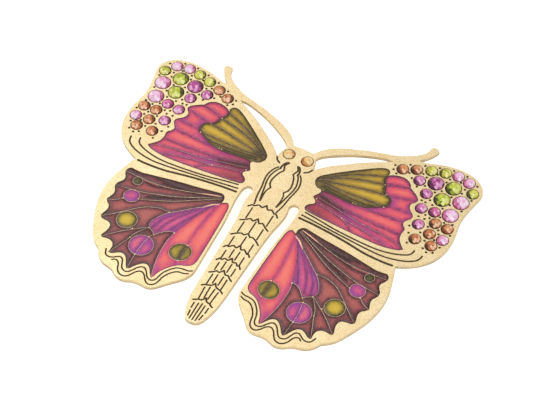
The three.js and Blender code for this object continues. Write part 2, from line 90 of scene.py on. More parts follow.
# The width of a raised line at its ends, as a share of its full width
STROKE_TIP = 0.45

LINE_STEP = 0.25
# How many points are compared with all segments at a time
CHUNK = 400
# Where the points of a line's round end stand, in degrees from the way it runs
END_ANGLES = (-60, -30, 0, 30, 60)

# Grooves cut in the plate: width, then one smooth run of points.
GROOVES = [
    (0.30, [(3.4, 11.5), (3.05, 10.85), (2.4, 10.4)]),
    # along the lower edge of the forewing
    (0.28, [(6.5, 3.0), (9, 2.65), (12, 2.15), (15, 1.85), (18, 1.65), (20, 1.6), (22, 1.75), (24, 2.2),
            (25.5, 2.8), (26.2, 3.4), (26.4, 4.2)]),
    (0.28, [(6.2, 2.25), (9, 1.95), (12, 1.6), (15, 1.3), (18, 1.0), (20, 0.85), (22, 0.8), (24, 1.05),
            (26, 1.6), (27.4, 2.4), (27.9, 3.1), (28.05, 3.8)]),
    (0.38, [(6.1, 1.5), (9, 1.35), (12, 1.05), (15, 0.65), (17, 0.3), (19, -0.05), (21, -0.2),
            (23, -0.25), (24.4, -0.18)]),
    # waves along the foot of the hindwing
    (0.25, [(4.7, -16.4), (5.3, -16.7), (6.5, -16.8), (7.4, -17.1), (8.2, -17.9), (8.8, -18.8),
            (9.1, -19.7), (9.3, -20.6), (9.7, -21.1), (10.2, -21.2), (10.8, -20.9), (11.4, -20.1),
            (12.0, -19.5), (12.6, -19.5), (13.2, -20.0), (13.7, -20.8), (14.2, -21.4), (14.8, -21.55),
            (15.5, -21.2), (15.9, -20.4), (16.3, -19.6), (16.9, -19.35), (17.5, -19.7), (18.1, -20.1),
            (18.8, -20.2), (19.4, -19.9), (19.8, -19.0)]),
    (0.25, [(5.0, -17.2), (5.7, -17.5), (6.6, -17.6), (7.3, -18.0), (8.0, -18.8), (8.5, -19.8),
            (8.7, -20.8), (9.0, -21.6), (9.7, -22.05), (10.3, -22.0), (10.9, -21.5), (11.4, -20.8),
            (12.0, -20.4), (12.6, -20.5), (13.1, -21.0), (13.5, -21.7), (14.0, -22.3), (14.7, -22.55),
            (15.5, -22.3), (16.1, -21.6), (16.4, -20.8), (16.9, -20.25), (17.4, -20.2), (17.8, -20.5)]),
    # thorax
    (0.27, [(0.85, 11.0), (1.25, 10.3), (1.05, 9.6), (0.9, 9.2)]),
    (0.27, [(0.9, 9.2), (1.3, 8.6), (1.6, 7.8), (1.8, 7.0), (1.85, 6.3), (1.7, 5.6), (1.25, 4.95)]),
    (0.24, [(1.25, 4.95), (1.55, 4.3), (1.65, 3.5), (1.6, 2.5), (1.5, 1.7)]),
    (0.32, [(0.85, 11.1), (1.3, 10.9), (1.55, 10.4), (1.7, 9.8), (1.65, 9.4)]),
    (0.26, [(1.65, 9.4), (2.0, 8.9), (2.35, 8.0), (2.55, 7.0), (2.5, 6.0), (2.3, 5.0), (2.1, 4.0),
            (1.9, 3.0), (1.6, 1.7)]),
    (0.26, [(2.1, 9.5), (2.5, 9.0), (2.85, 8.2), (3.05, 7.3), (3.05, 6.5), (2.9, 5.5), (2.7, 4.5),
            (2.6, 3.5), (2.5, 2.5), (2.3, 1.5), (2.1, 0.7)]),
    # bands across the abdomen
    (0.28, [(0, 1.25), (0.55, 0.55), (1.2, 0.8), (1.95, 0.25), (2.2, 0.4), (2.8, -0.2)]),
    (0.28, [(0, -1.9), (0.6, -2.65), (1.15, -2.4), (1.95, -3.0), (2.65, -3.4)]),
    (0.28, [(0, -5.35), (0.6, -5.9), (1.05, -5.75), (1.9, -6.2), (2.6, -6.75)]),
    (0.28, [(0, -8.1), (0.5, -8.9), (1.0, -8.6), (1.75, -9.25), (2.0, -9.1), (2.45, -9.6)]),
    (0.28, [(0, -11.1), (0.5, -11.8), (1.0, -11.6), (1.5, -12.1), (1.8, -11.95), (2.25, -12.5)]),
    (0.28, [(0, -13.9), (0.6, -14.6), (1.1, -14.5), (1.5, -14.9), (2.1, -15.3)]),
    (0.28, [(0, -16.9), (0.5, -17.5), (1.4, -17.8), (1.95, -18.15)]),
    (0.28, [(0, -20.15), (0.5, -20.8), (1.1, -20.9), (1.3, -21.1), (1.8, -21.35)]),
]

# Dashes along the abdomen: x at the top, top, x at the bottom, bottom.
DASHES = [
    (1.97, -0.25, 1.97, -2.6), (1.83, -3.5, 1.83, -5.8), (0, -2.6, 0, -5.1), (1.85, -7.0, 1.85, -9.0),
    (0, -6.1, 0, -8.0), (1.72, -10.1, 1.72, -11.8), (0.55, -9.4, 0.55, -11.2), (1.54, -12.8, 1.54, -14.4),
    (0.55, -12.2, 0.55, -14.0), (1.35, -15.4, 1.35, -17.6), (0.52, -15.1, 0.52, -17.0),
    (1.26, -18.3, 1.1, -20.7), (0.45, -17.9, 0.35, -20.2), (0, -21.4, 0, -25.0),
    (0.62, -21.6, 0.56, -24.9), (1.35, -21.8, 1.3, -22.9), (1.2, -23.4, 1.05, -24.5),
]
DASH_WIDTH = 0.24

# Punched dots round the crystals.
DOTS = [
    (15.48, 19.05), (15.60, 18.08), (16.42, 17.49), (17.77, 20.28), (18.36, 18.61), (19.21, 17.82),
    (20.14, 21.22), (20.59, 19.53), (20.78, 16.55), (21.45, 19.08), (21.95, 17.32), (22.57, 21.92),
    (22.87, 20.47), (24.04, 16.84), (24.04, 14.96), (22.80, 14.31), (23.54, 14.22), (24.99, 22.49),
    (25.16, 20.50), (24.89, 19.65), (24.96, 17.62), (24.84, 14.20), (27.55, 22.37), (27.13, 20.73),
    (29.97, 21.21), (28.37, 19.68), (28.25, 18.67), (27.01, 17.19), (27.47, 15.53), (30.37, 18.04),
    (29.82, 15.25), (26.71, 14.31), (27.13, 12.48), (29.67, 12.02), (28.22, 11.74), (24.69, 11.80),
    (25.61, 11.51), (23.77, 11.02), (24.92, 10.98), (26.16, 9.74), (28.02, 9.89), (30.27, 9.76),
    (28.40, 9.15), (23.25, 8.55), (25.52, 8.10), (28.28, 7.74), (23.80, 7.18), (26.91, 6.88),
    (29.77, 6.76), (24.44, 5.19), (27.32, 5.35), (28.17, 4.86), (29.19, 5.28),
]

# The enamelled windows. Veins run outwards from the root. A vein is its colour, its width and
# one smooth run of points; spots are ellipses (x, y, radii, tilt, enamel); fields give one point
# inside each cell that isn't the default enamel; blobs tint the enamel inside soft ellipses
# (x, y, radii, tilt, strength), listed by tint; beads are gold drops.
OLIVE_FAN = {
    "root": (4.4, 10.1),
    "default": "olive",
    "veins": [
        ("ray", 0.08, [(5.2, 10.4), (10, 13.8), (15.3, 16.15)]),
        ("ray", 0.08, [(5.2, 10.35), (10, 12.9), (15.95, 14.55)]),
        ("ray", 0.08, [(5.2, 10.25), (10, 11.25), (14, 12.1), (17.1, 12.6)]),
        ("ray", 0.08, [(5.1, 10.1), (10, 9.93), (17.7, 10.15)]),
        ("fine", 0.05, [(6.5, 9.6), (10, 9.3), (13.5, 9.1), (16.2, 9.4)]),
        ("fine", 0.05, [(6.3, 9.25), (9, 8.85), (12.5, 8.6)]),
    ],
    "spots": [],
    "fields": [],
    "blobs": {
        "shade": [
            (5.4, 10.2, 2.2, 1.5, 10, 0.7), (9.2, 14.1, 3.6, 0.5, 38, 0.6),
            (10.5, 8.9, 4.2, 0.7, 0, 0.35),
        ],
        "glow": [
            (14.6, 11.4, 3.6, 0.6, 4, 0.75), (13.8, 13.1, 2.6, 0.5, 16, 0.75),
            (13.6, 14.8, 1.8, 0.5, 24, 0.5),
        ],
    },
    "beads": [(15.9, 14.5), (16.98, 12.62), (17.75, 10.1), (13.2, 8.42), (12.7, 8.42)],
}

ROSE_FIELD = {
    "root": (2.6, 8.6),
    "default": "rose",
    "veins": [
        ("violet", 0.06, [(16.1, 14.6), (18, 15.2), (20.2, 15.75)]),
        ("violet", 0.06, [(17.4, 12.55), (20, 13.2), (22.1, 13.85)]),
        ("violet", 0.06, [(18.2, 10.6), (20, 10.75), (22.8, 10.9)]),
        ("violet", 0.06, [(13, 8.25), (16, 8.4), (20, 8.65), (22.3, 8.75)]),
        ("violet", 0.06, [(6.9, 7.85), (10, 7.0), (14, 6.5), (18, 6.2), (22.8, 6.1)]),
        ("pale", 0.06, [(6.6, 6.95), (11, 6.1), (15, 5.3), (19, 4.9), (23, 4.3), (24.3, 3.62)]),
        ("pale", 0.06, [(7.0, 5.75), (10, 5.3), (12.5, 4.7), (16, 4.3), (20, 3.4), (21.8, 2.7)]),
        ("pale", 0.05, [(12, 4.8), (13.5, 4.2), (15, 3.1)]),
        ("fine", 0.05, [(6.9, 7.5), (9.5, 6.75), (12, 6.3)]),
        ("fine", 0.05, [(6.6, 6.6), (9, 6.2), (11.5, 5.75)]),
    ],
    "spots": [],
    "fields": [],
    "blobs": {
        "shade": [
            (8.4, 6.9, 3.0, 1.1, -10, 1.0), (11.2, 6.2, 2.2, 0.8, -12, 0.8),
            (8.0, 4.0, 3.4, 1.5, -3, 0.7),
        ],
        "violet": [
            (13.2, 5.4, 1.8, 0.8, -20, 0.95), (16.8, 4.6, 2.8, 0.6, -12, 0.55),
            (20.4, 3.6, 2.4, 0.5, -14, 0.45), (16.2, 9.0, 2.4, 0.5, 12, 0.6),
            (18.7, 11.8, 0.9, 1.2, 0, 0.6), (21.9, 11.3, 0.9, 1.0, 0, 0.6),
            (22.2, 8.8, 0.8, 0.6, 0, 0.6), (22.6, 13.6, 1.0, 1.0, 0, 0.5),
            (12.0, 7.7, 2.8, 0.4, -4, 0.5),
        ],
        "glow": [
            (15.5, 3.35, 1.9, 0.5, -4, 0.8), (19.5, 14.3, 1.7, 0.6, 8, 0.7),
            (18.5, 15.9, 1.3, 0.5, 8, 0.5), (18.6, 7.5, 3.4, 0.6, 0, 0.7),
            (20.6, 5.4, 1.8, 0.4, -6, 0.5),
        ],
    },
    "beads": [(6.8, 6.45), (12.5, 4.72)],
}

HINDWING = {
    "root": (7.0, -0.9),
    "default": "plum",
    "veins": [
        # the coral petals
        ("violet", 0.07, [(7.3, -2.1), (7.8, -6), (8.1, -9), (8.05, -12.3), (7.95, -15.4), (7.9, -16.7)]),
        ("violet", 0.07, [(7.2, -1.9), (8.2, -3.4), (9.5, -6), (10.6, -9), (11.2, -10.8)]),
        ("pale", 0.1, [(11.2, -10.8), (11.5, -12.2), (11.55, -13.6), (11.45, -15.5), (11.0, -18),
                        (10.2, -20.8)]),
        # the violet petals
        ("pale", 0.1, [(7.2, -1.8), (9, -3.5), (11, -5), (13, -6.7), (14.2, -7.7), (15.2, -9),
                        (15.85, -10.3), (15.9, -11.2), (15.55, -11.85)]),
        ("pale", 0.1, [(11.2, -10.8), (12, -10.95), (12.8, -11.4), (13.5, -12.1), (14.15, -12.85)]),
        ("pale", 0.1, [(14.15, -12.85), (14.6, -12.35), (15.55, -11.85)]),
        ("violet", 0.06, [(7.2, -1.85), (9.5, -4.2), (11.5, -6.7), (13.1, -9.2), (14.1, -12.7)]),
        ("violet", 0.06, [(7.2, -1.82), (10, -4.1), (12.5, -6.9), (14.2, -9.0), (15.3, -11.9)]),
        ("violet", 0.05, [(8.0, -2.9), (9.4, -5.2), (11.0, -8.2), (12.1, -10.6)]),
        # the plum sectors
        ("pale", 0.1, [(7.4, -0.9), (11, -3.0), (14, -4.8), (17, -6.2), (20.2, -7.5)]),
        ("pale", 0.1, [(22.6, -8.3), (23.6, -9.3), (25.1, -9.95)]),
        ("pale", 0.1, [(7.6, -0.8), (12, -2.9), (15, -4.2), (18, -5.2), (21, -6.0), (25.3, -6.55)]),
        ("fine", 0.06, [(8.3, -1.2), (12, -3.0), (16, -4.9), (19, -6.3)]),
        ("pale", 0.1, [(7.8, -0.5), (11.4, -1.6), (14, -2.35), (17, -3.05), (20, -3.3), (25.2, -3.2)]),
        ("fine", 0.05, [(11.4, -1.55), (13.5, -1.9), (16.5, -2.1), (19.5, -2.1)]),
        ("fine", 0.05, [(12.0, -1.9), (15, -2.35), (18, -2.5)]),
        ("fine", 0.05, [(15.5, -2.7), (18.5, -3.6), (21.5, -3.7)]),
        ("pale", 0.1, [(14.1, -7.5), (16, -7.5), (18, -8.2), (19.5, -9.3), (21, -10.7), (22.4, -12),
                        (24.2, -13.55)]),
        ("pale", 0.1, [(15.6, -11.7), (18.0, -13.5), (19.6, -14.8), (22.05, -17.2)]),
        ("pale", 0.1, [(15.65, -11.8), (17.1, -14), (17.6, -15.5), (18.3, -17.3), (19.15, -19.6)]),
        ("pale", 0.1, [(14.2, -12.8), (14.6, -13.6), (14.95, -15.7), (14.95, -17.8), (14.75, -21.1)]),
    ],
    "spots": [
        (22.2, -4.1, 0.85, 0.85, 0, "moss"),
        (21.55, -7.35, 1.42, 1.3, -15, "orchid"),
        (19.78, -12.12, 1.8, 1.75, 0, "lemon"),
        (15.0, -15.65, 2.14, 2.1, 0, "orchid"),
        (8.4, -13.9, 1.95, 1.75, -25, "lemon"),
    ],
    "fields": [
        (6.3, -8, "coral"), (9.2, -9, "coral"), (8.9, -17.5, "coral"), (5.9, -15.0, "coral"),
        (11.0, -9.2, "rose"), (12.2, -9.2, "rose"), (13.6, -9.2, "violet"), (15.2, -10.5, "violet"),
        (12.6, -11.2, "rose"), (14.2, -11.2, "violet"),
    ],
    "blobs": {
        "shade": [
            (10.0, -1.4, 4.0, 0.9, -17, 1.0), (13.0, -3.6, 4.6, 0.55, -26, 0.9),
            (14.5, -1.6, 4.5, 0.5, -5, 0.9), (15.6, -12.6, 1.6, 0.9, -40, 0.8),
            (22.6, -2.8, 2.4, 0.6, 0, 0.6), (23.0, -12.2, 1.6, 1.0, -40, 0.7),
            (14.9, -19.4, 0.9, 1.6, 0, 0.8), (18.9, -18.3, 0.8, 1.2, 0, 0.6),
            (17.3, -14.2, 0.8, 1.8, 20, 0.5), (6.9, -14.0, 1.0, 1.4, 0, 0.35),
            (8.0, -13.6, 1.7, 1.3, -20, 0.65),
        ],
        "glow": [
            (12.5, -5.0, 4.0, 0.5, -34, 0.5), (17.6, -10.0, 1.6, 1.2, -30, 0.55),
            (21.4, -10.0, 1.6, 0.8, -40, 0.35), (12.7, -14.6, 0.7, 1.8, 0, 0.3),
            (6.5, -7.0, 0.8, 5.0, 0, 0.75), (9.1, -9.5, 0.8, 3.5, 12, 0.85),
            (10.2, -15.2, 0.7, 2.4, 0, 0.6), (20.0, -12.2, 1.2, 1.2, 0, 0.6),
            (9.2, -14.1, 0.8, 0.8, 0, 0.5), (15.6, -15.6, 1.0, 1.4, 0, 0.5),
        ],
        "violet": [
            (9.3, -3.8, 2.4, 0.5, -44, 0.7), (14.0, -8.0, 3.4, 0.5, -50, 0.7),
            (15.0, -10.6, 1.2, 1.4, 0, 0.35), (5.2, -12.5, 0.5, 4.0, 0, 0.7),
            (7.6, -16.2, 2.2, 0.6, -24, 0.7), (10.4, -18.9, 0.9, 1.6, 0, 0.9),
            (7.9, -5.0, 0.35, 4.0, 4, 0.6), (11.1, -13.5, 0.5, 5.0, 0, 0.7),
            (11.7, -10.3, 1.0, 0.7, -20, 0.6), (14.0, -14.6, 1.3, 0.9, 0, 0.7),
            (15.1, -17.4, 1.6, 0.6, 0, 0.6), (20.9, -8.0, 1.0, 0.5, -20, 0.8),
        ],
    },
    "beads": [
        (14.15, -12.8), (15.55, -11.85), (7.9, -12.1), (7.9, -15.6), (14.7, -13.55), (15.0, -17.75),
        (20.2, -7.4), (22.6, -8.45), (17.45, -15.1), (18.0, -13.3), (14.1, -7.5), (11.2, -10.9),
    ],
    # Raised bars near the root, coloured salmon as painted warm highlights: width, then one smooth run of
    # points.
    "painted_highlight_bars": [
        (0.30, [(7.3, -2.15), (8.4, -2.75), (9.6, -4.0)]),
        (0.24, [(7.75, -0.5), (9.6, -1.0), (11.4, -1.6)]),
    ],
}

WINDOWS = {"forewing_olive": OLIVE_FAN, "forewing_rose": ROSE_FIELD, "hindwing": HINDWING}

# Each enamel's colours from its edge to its middle, then its tints: shade, violet and glow.
ENAMELS = {
    "olive": [(64, 54, 20), (146, 118, 32), (184, 148, 38), (204, 166, 44)],
    "rose": [(122, 38, 84), (198, 66, 110), (230, 84, 106), (242, 98, 106)],
    "coral": [(188, 60, 102), (236, 88, 110), (246, 100, 104), (250, 112, 108)],
    "violet": [(110, 34, 96), (174, 58, 128), (208, 78, 136), (226, 96, 136)],
    "plum": [(48, 20, 28), (108, 48, 54), (160, 76, 76), (182, 90, 86)],
    "moss": [(36, 32, 10), (62, 54, 18), (84, 74, 26), (98, 86, 32)],
    "lemon": [(46, 42, 14), (104, 90, 22), (170, 142, 32), (198, 162, 40)],
    "orchid": [(120, 40, 112), (168, 60, 138), (196, 72, 134), (220, 88, 128)],
}
TINTS = {
    "olive": [(60, 50, 20), (120, 90, 40), (228, 188, 54)],
    "rose": [(76, 30, 36), (158, 52, 140), (250, 122, 112)],
    "coral": [(140, 54, 70), (176, 58, 130), (255, 132, 114)],
    "violet": [(62, 26, 56), (120, 44, 138), (224, 92, 136)],
    "plum": [(60, 22, 24), (84, 40, 70), (190, 104, 92)],
    "moss": [(30, 26, 8), (48, 38, 24), (124, 108, 44)],
    "lemon": [(74, 66, 20), (100, 78, 40), (232, 202, 54)],
    "orchid": [(110, 44, 96), (150, 50, 154), (250, 124, 126)],
}

# Each crystal's colours from its most shaded facets to its brightest, picked by each facet's painted light;
# the top colour is a painted highlight.
CRYSTALS = {
    "topaz": [(64, 30, 10), (178, 92, 42), (232, 146, 88), (255, 222, 188)],
    "olive": [(70, 72, 14), (178, 176, 44), (232, 230, 92), (252, 250, 184)],
    "pink": [(184, 72, 132), (242, 158, 208), (254, 208, 238), (255, 240, 250)],
    "rose": [(84, 26, 64), (190, 84, 150), (232, 138, 196), (254, 216, 240)],
    "amethyst": [(54, 10, 44), (148, 46, 114), (200, 86, 160), (246, 190, 232)],
    "peridot": [(54, 60, 6), (156, 170, 32), (212, 220, 72), (246, 250, 168)],
    "fuchsia": [(84, 16, 54), (190, 62, 124), (230, 110, 170), (254, 206, 234)],
    "champagne": [(176, 104, 40), (244, 176, 100), (255, 216, 142), (255, 238, 192)],
}


# ---------------------------------------------------------------- lines in the plane

def smooth(knots, step=LINE_STEP):
    """A Catmull-Rom curve through the knots, with a point about every step."""
    knots = [np.array(knot, float) for knot in knots]
    padded = [2 * knots[0] - knots[1], *knots, 2 * knots[-1] - knots[-2]]
    line = []
    for a, b, c, d in zip(padded, padded[1:], padded[2:], padded[3:]):
        count = max(1, math.ceil(np.linalg.norm(c - b) / step))
        for i in range(count):
            t = i / count
            pull = (c - a) * t + (2 * a - 5 * b + 4 * c - d) * t**2 + (3 * b - a - 3 * c + d) * t**3
            line.append(b + pull / 2)
    line.append(knots[-1])
    return np.array(line)


def mirrored(line):
    return line * np.array([-1, 1])


def moved_aside(line, distance, closed=False):
    """The line moved to the left of the way it runs."""
    before = line - np.roll(line, 1, axis=0)
    after = np.roll(line, -1, axis=0) - line
    if not closed:
        before[0] = after[0]
        after[-1] = before[-1]
    before /= np.linalg.norm(before, axis=1, keepdims=True)
    after /= np.linalg.norm(after, axis=1, keepdims=True)
    along = before + after
    along /= np.maximum(np.linalg.norm(along, axis=1, keepdims=True), 1e-6)
    left = np.stack([-along[:, 1], along[:, 0]], axis=1)
    half_turn = np.sqrt(np.clip((1 + (before * after).sum(axis=1)) / 2, 0.25, 1))
    return line + left * (distance / half_turn)[:, None]


def ellipse(x, y, radius_x, radius_y, tilt=0, sides=40):
    turn = math.radians(tilt)
    angles = np.arange(sides) * 2 * math.pi / sides
    u = radius_x * np.cos(angles)
    v = radius_y * np.sin(angles)
    return np.stack([x + u * math.cos(turn) - v * math.sin(turn),
                     y + u * math.sin(turn) + v * math.cos(turn)], axis=1)


def round_end(before, end, radius):
    """The half circle past the end of a line, from its right side to its left."""
    way = math.atan2(*(end - before)[::-1])
    angles = way + np.radians(END_ANGLES)
    return end + radius * np.column_stack([np.cos(angles), np.sin(angles)])


def band(line, half_width):
    """The closed outline of a stroke of that half width along the line, with round ends."""
    left, right = moved_aside(line, half_width), moved_aside(line, -half_width)
    return np.concatenate([right, round_end(line[-2], line[-1], half_width),
                           left[::-1], round_end(line[1], line[0], half_width)])


def segments_of(line, closed=False):
    ends = np.roll(line, -1, axis=0)
    joined = np.concatenate([line, ends], axis=1)
    return joined if closed else joined[:-1]


def all_segments(loops):
    """The segments of several closed loops in one list."""
    return np.concatenate([segments_of(loop, closed=True) for loop in loops])


def nearness(points, segments, scale=None):
    """Each point's distance to the nearest segment, divided by that segment's scale."""
    scale = np.ones(len(segments)) if scale is None else scale
    start, along = segments[:, :2], segments[:, 2:] - segments[:, :2]
    squared = np.maximum((along**2).sum(axis=1), 1e-12)
    best = np.empty(len(points))
    for first in range(0, len(points), CHUNK):
        offset = points[first:first + CHUNK, None, :] - start
        share = np.clip((offset * along).sum(axis=2) / squared, 0, 1)
        gap = offset - share[..., None] * along
        best[first:first + CHUNK] = (np.sqrt((gap**2).sum(axis=2)) / scale).min(axis=1)
    return best


def inside(points, loop):
    """Which of the points lie inside the closed loop."""
    x, y = points[:, 0, None], points[:, 1, None]
    x1, y1 = loop[:, 0], loop[:, 1]
    x2, y2 = np.roll(x1, -1), np.roll(y1, -1)
    spans = (y1 <= y) != (y2 <= y)
    rise = np.where(y2 == y1, 1, y2 - y1)
    crosses = spans & (x1 + (y - y1) * (x2 - x1) / rise > x)
    return crosses.sum(axis=1) % 2 == 1


def area_of(loop):
    x, y = loop[:, 0], loop[:, 1]
    return float((x * np.roll(y, -1) - np.roll(x, -1) * y).sum() / 2)


def drawn_in(loop, distance):
    """A closed loop moved inwards, whichever way round it runs."""
    return moved_aside(loop, distance if area_of(loop) > 0 else -distance, closed=True)


def fade(away, reach):
    """1 where away is 0, falling evenly to 0 where it is the reach."""
    return np.clip(1 - away / reach, 0, 1)


def rounded_fall(away, radius):
    """How far an edge rounded to that radius has fallen at each distance from it."""
    return radius * (1 - np.sqrt(1 - fade(away, radius) ** 2))


class Sketch:
    """Lines and points in the plane, for one triangulation that keeps the lines."""

    def __init__(self):
        self.points = []
        self.edges = []

    def line(self, points, closed=False):
        first = len(self.points)
        self.points.extend(map(tuple, points))
        last = len(self.points) - 1
        self.edges.extend((i, i + 1) for i in range(first, last))
        if closed:
            self.edges.append((last, first))

    def rings(self, loop, *distances):
        """The closed loop itself, and the loop drawn in by each distance."""
        self.line(loop, closed=True)
        for distance in distances:
            self.line(drawn_in(loop, distance), closed=True)

    def scatter(self, points):
        self.points.extend(map(tuple, points))

    def triangulated(self, outline, holes=()):
        """Points, triangles between the outline and the holes, and the kept edges."""
        vectors = [Vector(point) for point in self.points]
        made = delaunay_2d_cdt(vectors, self.edges, [], 0, WELD / 10)
        points = np.array([tuple(point) for point in made[0]])
        faces = np.array([tuple(face) for face in made[2]])
        centres = points[faces].mean(axis=1)
        wanted = inside(centres, outline)
        for hole in holes:
            wanted &= ~inside(centres, hole)
        faces = faces[wanted]
        a, b, c = (points[faces[:, i]] for i in range(3))
        turn = (b[:, 0] - a[:, 0]) * (c[:, 1] - a[:, 1]) - (b[:, 1] - a[:, 1]) * (c[:, 0] - a[:, 0])
        faces[turn < 0] = faces[turn < 0][:, ::-1]
        kept = {tuple(sorted(edge)) for edge, source in zip(made[1], made[4]) if source}
        return points, faces[np.abs(turn) > 1e-9], kept


# ---------------------------------------------------------------- solids

def rim_edges(faces):
    """Directed edges that only one face has, in the direction the face runs."""
    edges = {(int(face[i]), int(face[(i + 1) % 3])) for face in faces for i in range(3)}
    return [edge for edge in edges if edge[::-1] not in edges]


def rim_loops(faces):
    """The closed rows of corners along the edges that only one face has."""
    following = dict(rim_edges(faces))
    loops = []
    while following:
        start, corner = following.popitem()
        loop = [start]
        while corner != start:
            loop.append(corner)
            corner = following.pop(corner)
        loops.append(loop)
    return loops


def rim_sketch(points, faces):
    """A sketch that holds only the rims of a triangulation."""
    sketch = Sketch()
    for loop in rim_loops(faces):
        sketch.line(points[loop], closed=True)
    return sketch


class Solid:
    """Vertices, faces, and the material number of each face. Several closed bodies may share it."""

    def __init__(self):
        self.vertices = []
        self.faces = []
        self.numbers = []

    def add(self, vertices, faces, numbers=0):
        first = len(self.vertices)
        self.vertices.extend(tuple(map(float, vertex)) for vertex in vertices)
        self.faces.extend(tuple(int(i) + first for i in face) for face in faces)
        listed = [numbers] * len(faces) if np.isscalar(numbers) else list(numbers)
        self.numbers.extend(int(number) for number in listed)

    def welded(self):
        """Vertices closer than the weld distance become one, and faces that collapse go."""
        keys = np.round(np.array(self.vertices) / WELD).astype(int)
        _, first, index = np.unique(keys, axis=0, return_index=True, return_inverse=True)
        index = index.reshape(-1)
        self.vertices = [self.vertices[i] for i in first]
        kept = []
        for face, number in zip(self.faces, self.numbers):
            ring = [int(index[i]) for i in face]
            ring = [corner for i, corner in enumerate(ring) if corner != ring[i - 1]]
            if len(set(ring)) == len(ring) and len(ring) > 2:
                kept.append((tuple(ring), number))
        self.faces = [face for face, _ in kept]
        self.numbers = [number for _, number in kept]
        return self

    def placed(self, matrix):
        self.vertices = [tuple(matrix @ Vector(vertex)) for vertex in self.vertices]
        return self


def between_sheets(top, top_faces, bottom, bottom_faces, numbers=0):
    """A closed body between an upper and a lower sheet whose outlines are the same in the plane."""
    solid = Solid()
    solid.add(top, top_faces, numbers)
    solid.add(bottom, [face[::-1] for face in bottom_faces])
    low = {tuple(np.round(point[:2], 3)): point for point in bottom}
    for a, b in rim_edges(top_faces):
        feet = [low[tuple(np.round(top[i][:2], 3))] for i in (a, b)]
        solid.add([top[a], feet[0], feet[1], top[b]], [(0, 1, 2, 3)])
    return solid.welded()


def with_heights(points, heights):
    return np.column_stack([points, heights])


SLAB_RINGS = (0.1, 0.4, 1.0)


def rounded_slab(outline, holes, low, high, rim=0.08):
    """A flat piece of that outline with rounded edges all round, top and bottom."""
    sketch = Sketch()
    for loop in [outline, *holes]:
        inwards = rim if loop is outline else -rim
        sketch.rings(loop, *[inwards * share for share in SLAB_RINGS])
    points, faces, _ = sketch.triangulated(outline, holes)
    fall = rounded_fall(nearness(points, all_segments([outline, *holes])), rim)
    return between_sheets(with_heights(points, high - fall), faces, with_heights(points, low + fall), faces)


def lathe(profile, sides=48):
    """A body turned about Z. The profile is (radius, height), from its lowest to its highest end."""
    solid = Solid()
    rings = []
    for radius, height in profile:
        if radius < 1e-6:
            rings.append([(0, 0, height)])
        else:
            turn = [2 * math.pi * i / sides for i in range(sides)]
            rings.append([(radius * math.cos(a), radius * math.sin(a), height) for a in turn])
    for lower, upper in zip(rings, rings[1:]):
        for i in range(sides):
            j = (i + 1) % sides
            below = [lower[k % len(lower)] for k in (i, j)]
            above = [upper[k % len(upper)] for k in (j, i)]
            solid.add(below + above, [(0, 1, 2, 3)])
    return solid.welded()


def stroke(solid, line, width, foot, height, number, closed=False):
    """Adds a low rounded bead along the line, on a surface at the foot height."""
    section = [(-0.5, 0.0), (-0.34, 0.7), (0.0, 1.0), (0.34, 0.7), (0.5, 0.0), (0.0, -0.6)]
    count = len(line)
    share = np.linspace(0, 1, count)
    swell = np.ones(count) if closed else STROKE_TIP + (1 - STROKE_TIP) * np.sin(np.pi * share) ** 0.5
    rails = []
    for across, up in section:
        aside = moved_aside(line, 1.0, closed) - line
        aside /= np.maximum(np.linalg.norm(aside, axis=1, keepdims=True), 1e-6)
        flat = line - aside * (across * width * swell)[:, None]
        rails.append(np.column_stack([flat, foot + up * height * (0.5 + 0.5 * swell)]))
    vertices = np.stack(rails, axis=1).reshape(-1, 3)
    sides = len(section)
    faces = []
    for i in range(count if closed else count - 1):
        j = (i + 1) % count
        for k in range(sides):
            m = (k + 1) % sides
            faces.append((i * sides + k, i * sides + m, j * sides + m, j * sides + k))
    if not closed:
        faces.append(tuple(range(sides))[::-1])
        faces.append(tuple((count - 1) * sides + k for k in range(sides)))
    solid.add(vertices, faces, number)


def bead(solid, x, y, radius, foot, number):
    """Adds a drop of metal."""
    profile = [(0, -0.4), (0.9, -0.25), (1.0, 0.0), (0.85, 0.45), (0.5, 0.72), (0, 0.8)]
    drop = lathe([(r * radius, foot + h * radius * 0.6) for r, h in profile], sides=12)
    drop.placed(Matrix.Translation((x, y, 0)))
    solid.add(drop.vertices, drop.faces, number)


def broad_normals(solid):
    """Each vertex's normal, weighted by the area of its faces, so that broad faces stay flat."""
    points = np.array(solid.vertices)
    normals = np.zeros_like(points)
    for face in solid.faces:
        corners = points[list(face)]
        normals[list(face)] += np.cross(corners, np.roll(corners, -1, axis=0)).sum(axis=0)
    return normals / np.maximum(np.linalg.norm(normals, axis=1, keepdims=True), 1e-12)


def level_normals(solid, levels):
    """Straight up or down for the vertices at the given heights, and left open for the others."""
    normals = np.zeros((len(solid.vertices), 3))
    heights = np.array(solid.vertices)[:, 2]
    for height, way in levels.items():
        normals[np.abs(heights - height) < WELD / 2, 2] = way
    return normals


def show(name, data):
    """A new object with that data, in the scene."""
    made = bpy.data.objects.new(name, data)
    bpy.context.scene.collection.objects.link(made)
    return made


def make_piece(name, solid, materials, body, nodes, attributes=None, crease=40, levels=None,
               rounded=False):
    """A Blender object from a solid in millimetres, riding on a body and standing for CAD nodes."""
    mesh = bpy.data.meshes.new(name)
    mesh.from_pydata([Vector(vertex) * MM for vertex in solid.vertices], [], solid.faces)
    for material in materials:
        mesh.materials.append(material)
    mesh.polygons.foreach_set("material_index", solid.numbers)
    for key, (kind, domain, values) in (attributes or {}).items():
        layer = mesh.attributes.new(key, kind, domain)
        field = "vector" if kind == "FLOAT_VECTOR" else "value"
        layer.data.foreach_set(field, np.asarray(values, np.float32).ravel())
    mesh.shade_smooth()
    mesh.set_sharp_from_angle(angle=math.radians(crease))
    if levels:
        mesh.normals_split_custom_set_from_vertices(level_normals(solid, levels))
    if rounded:
        mesh.normals_split_custom_set_from_vertices(broad_normals(solid))
    piece = show(name, mesh)
    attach(piece, body)
    if nodes:
        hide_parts(*nodes)
    return piece


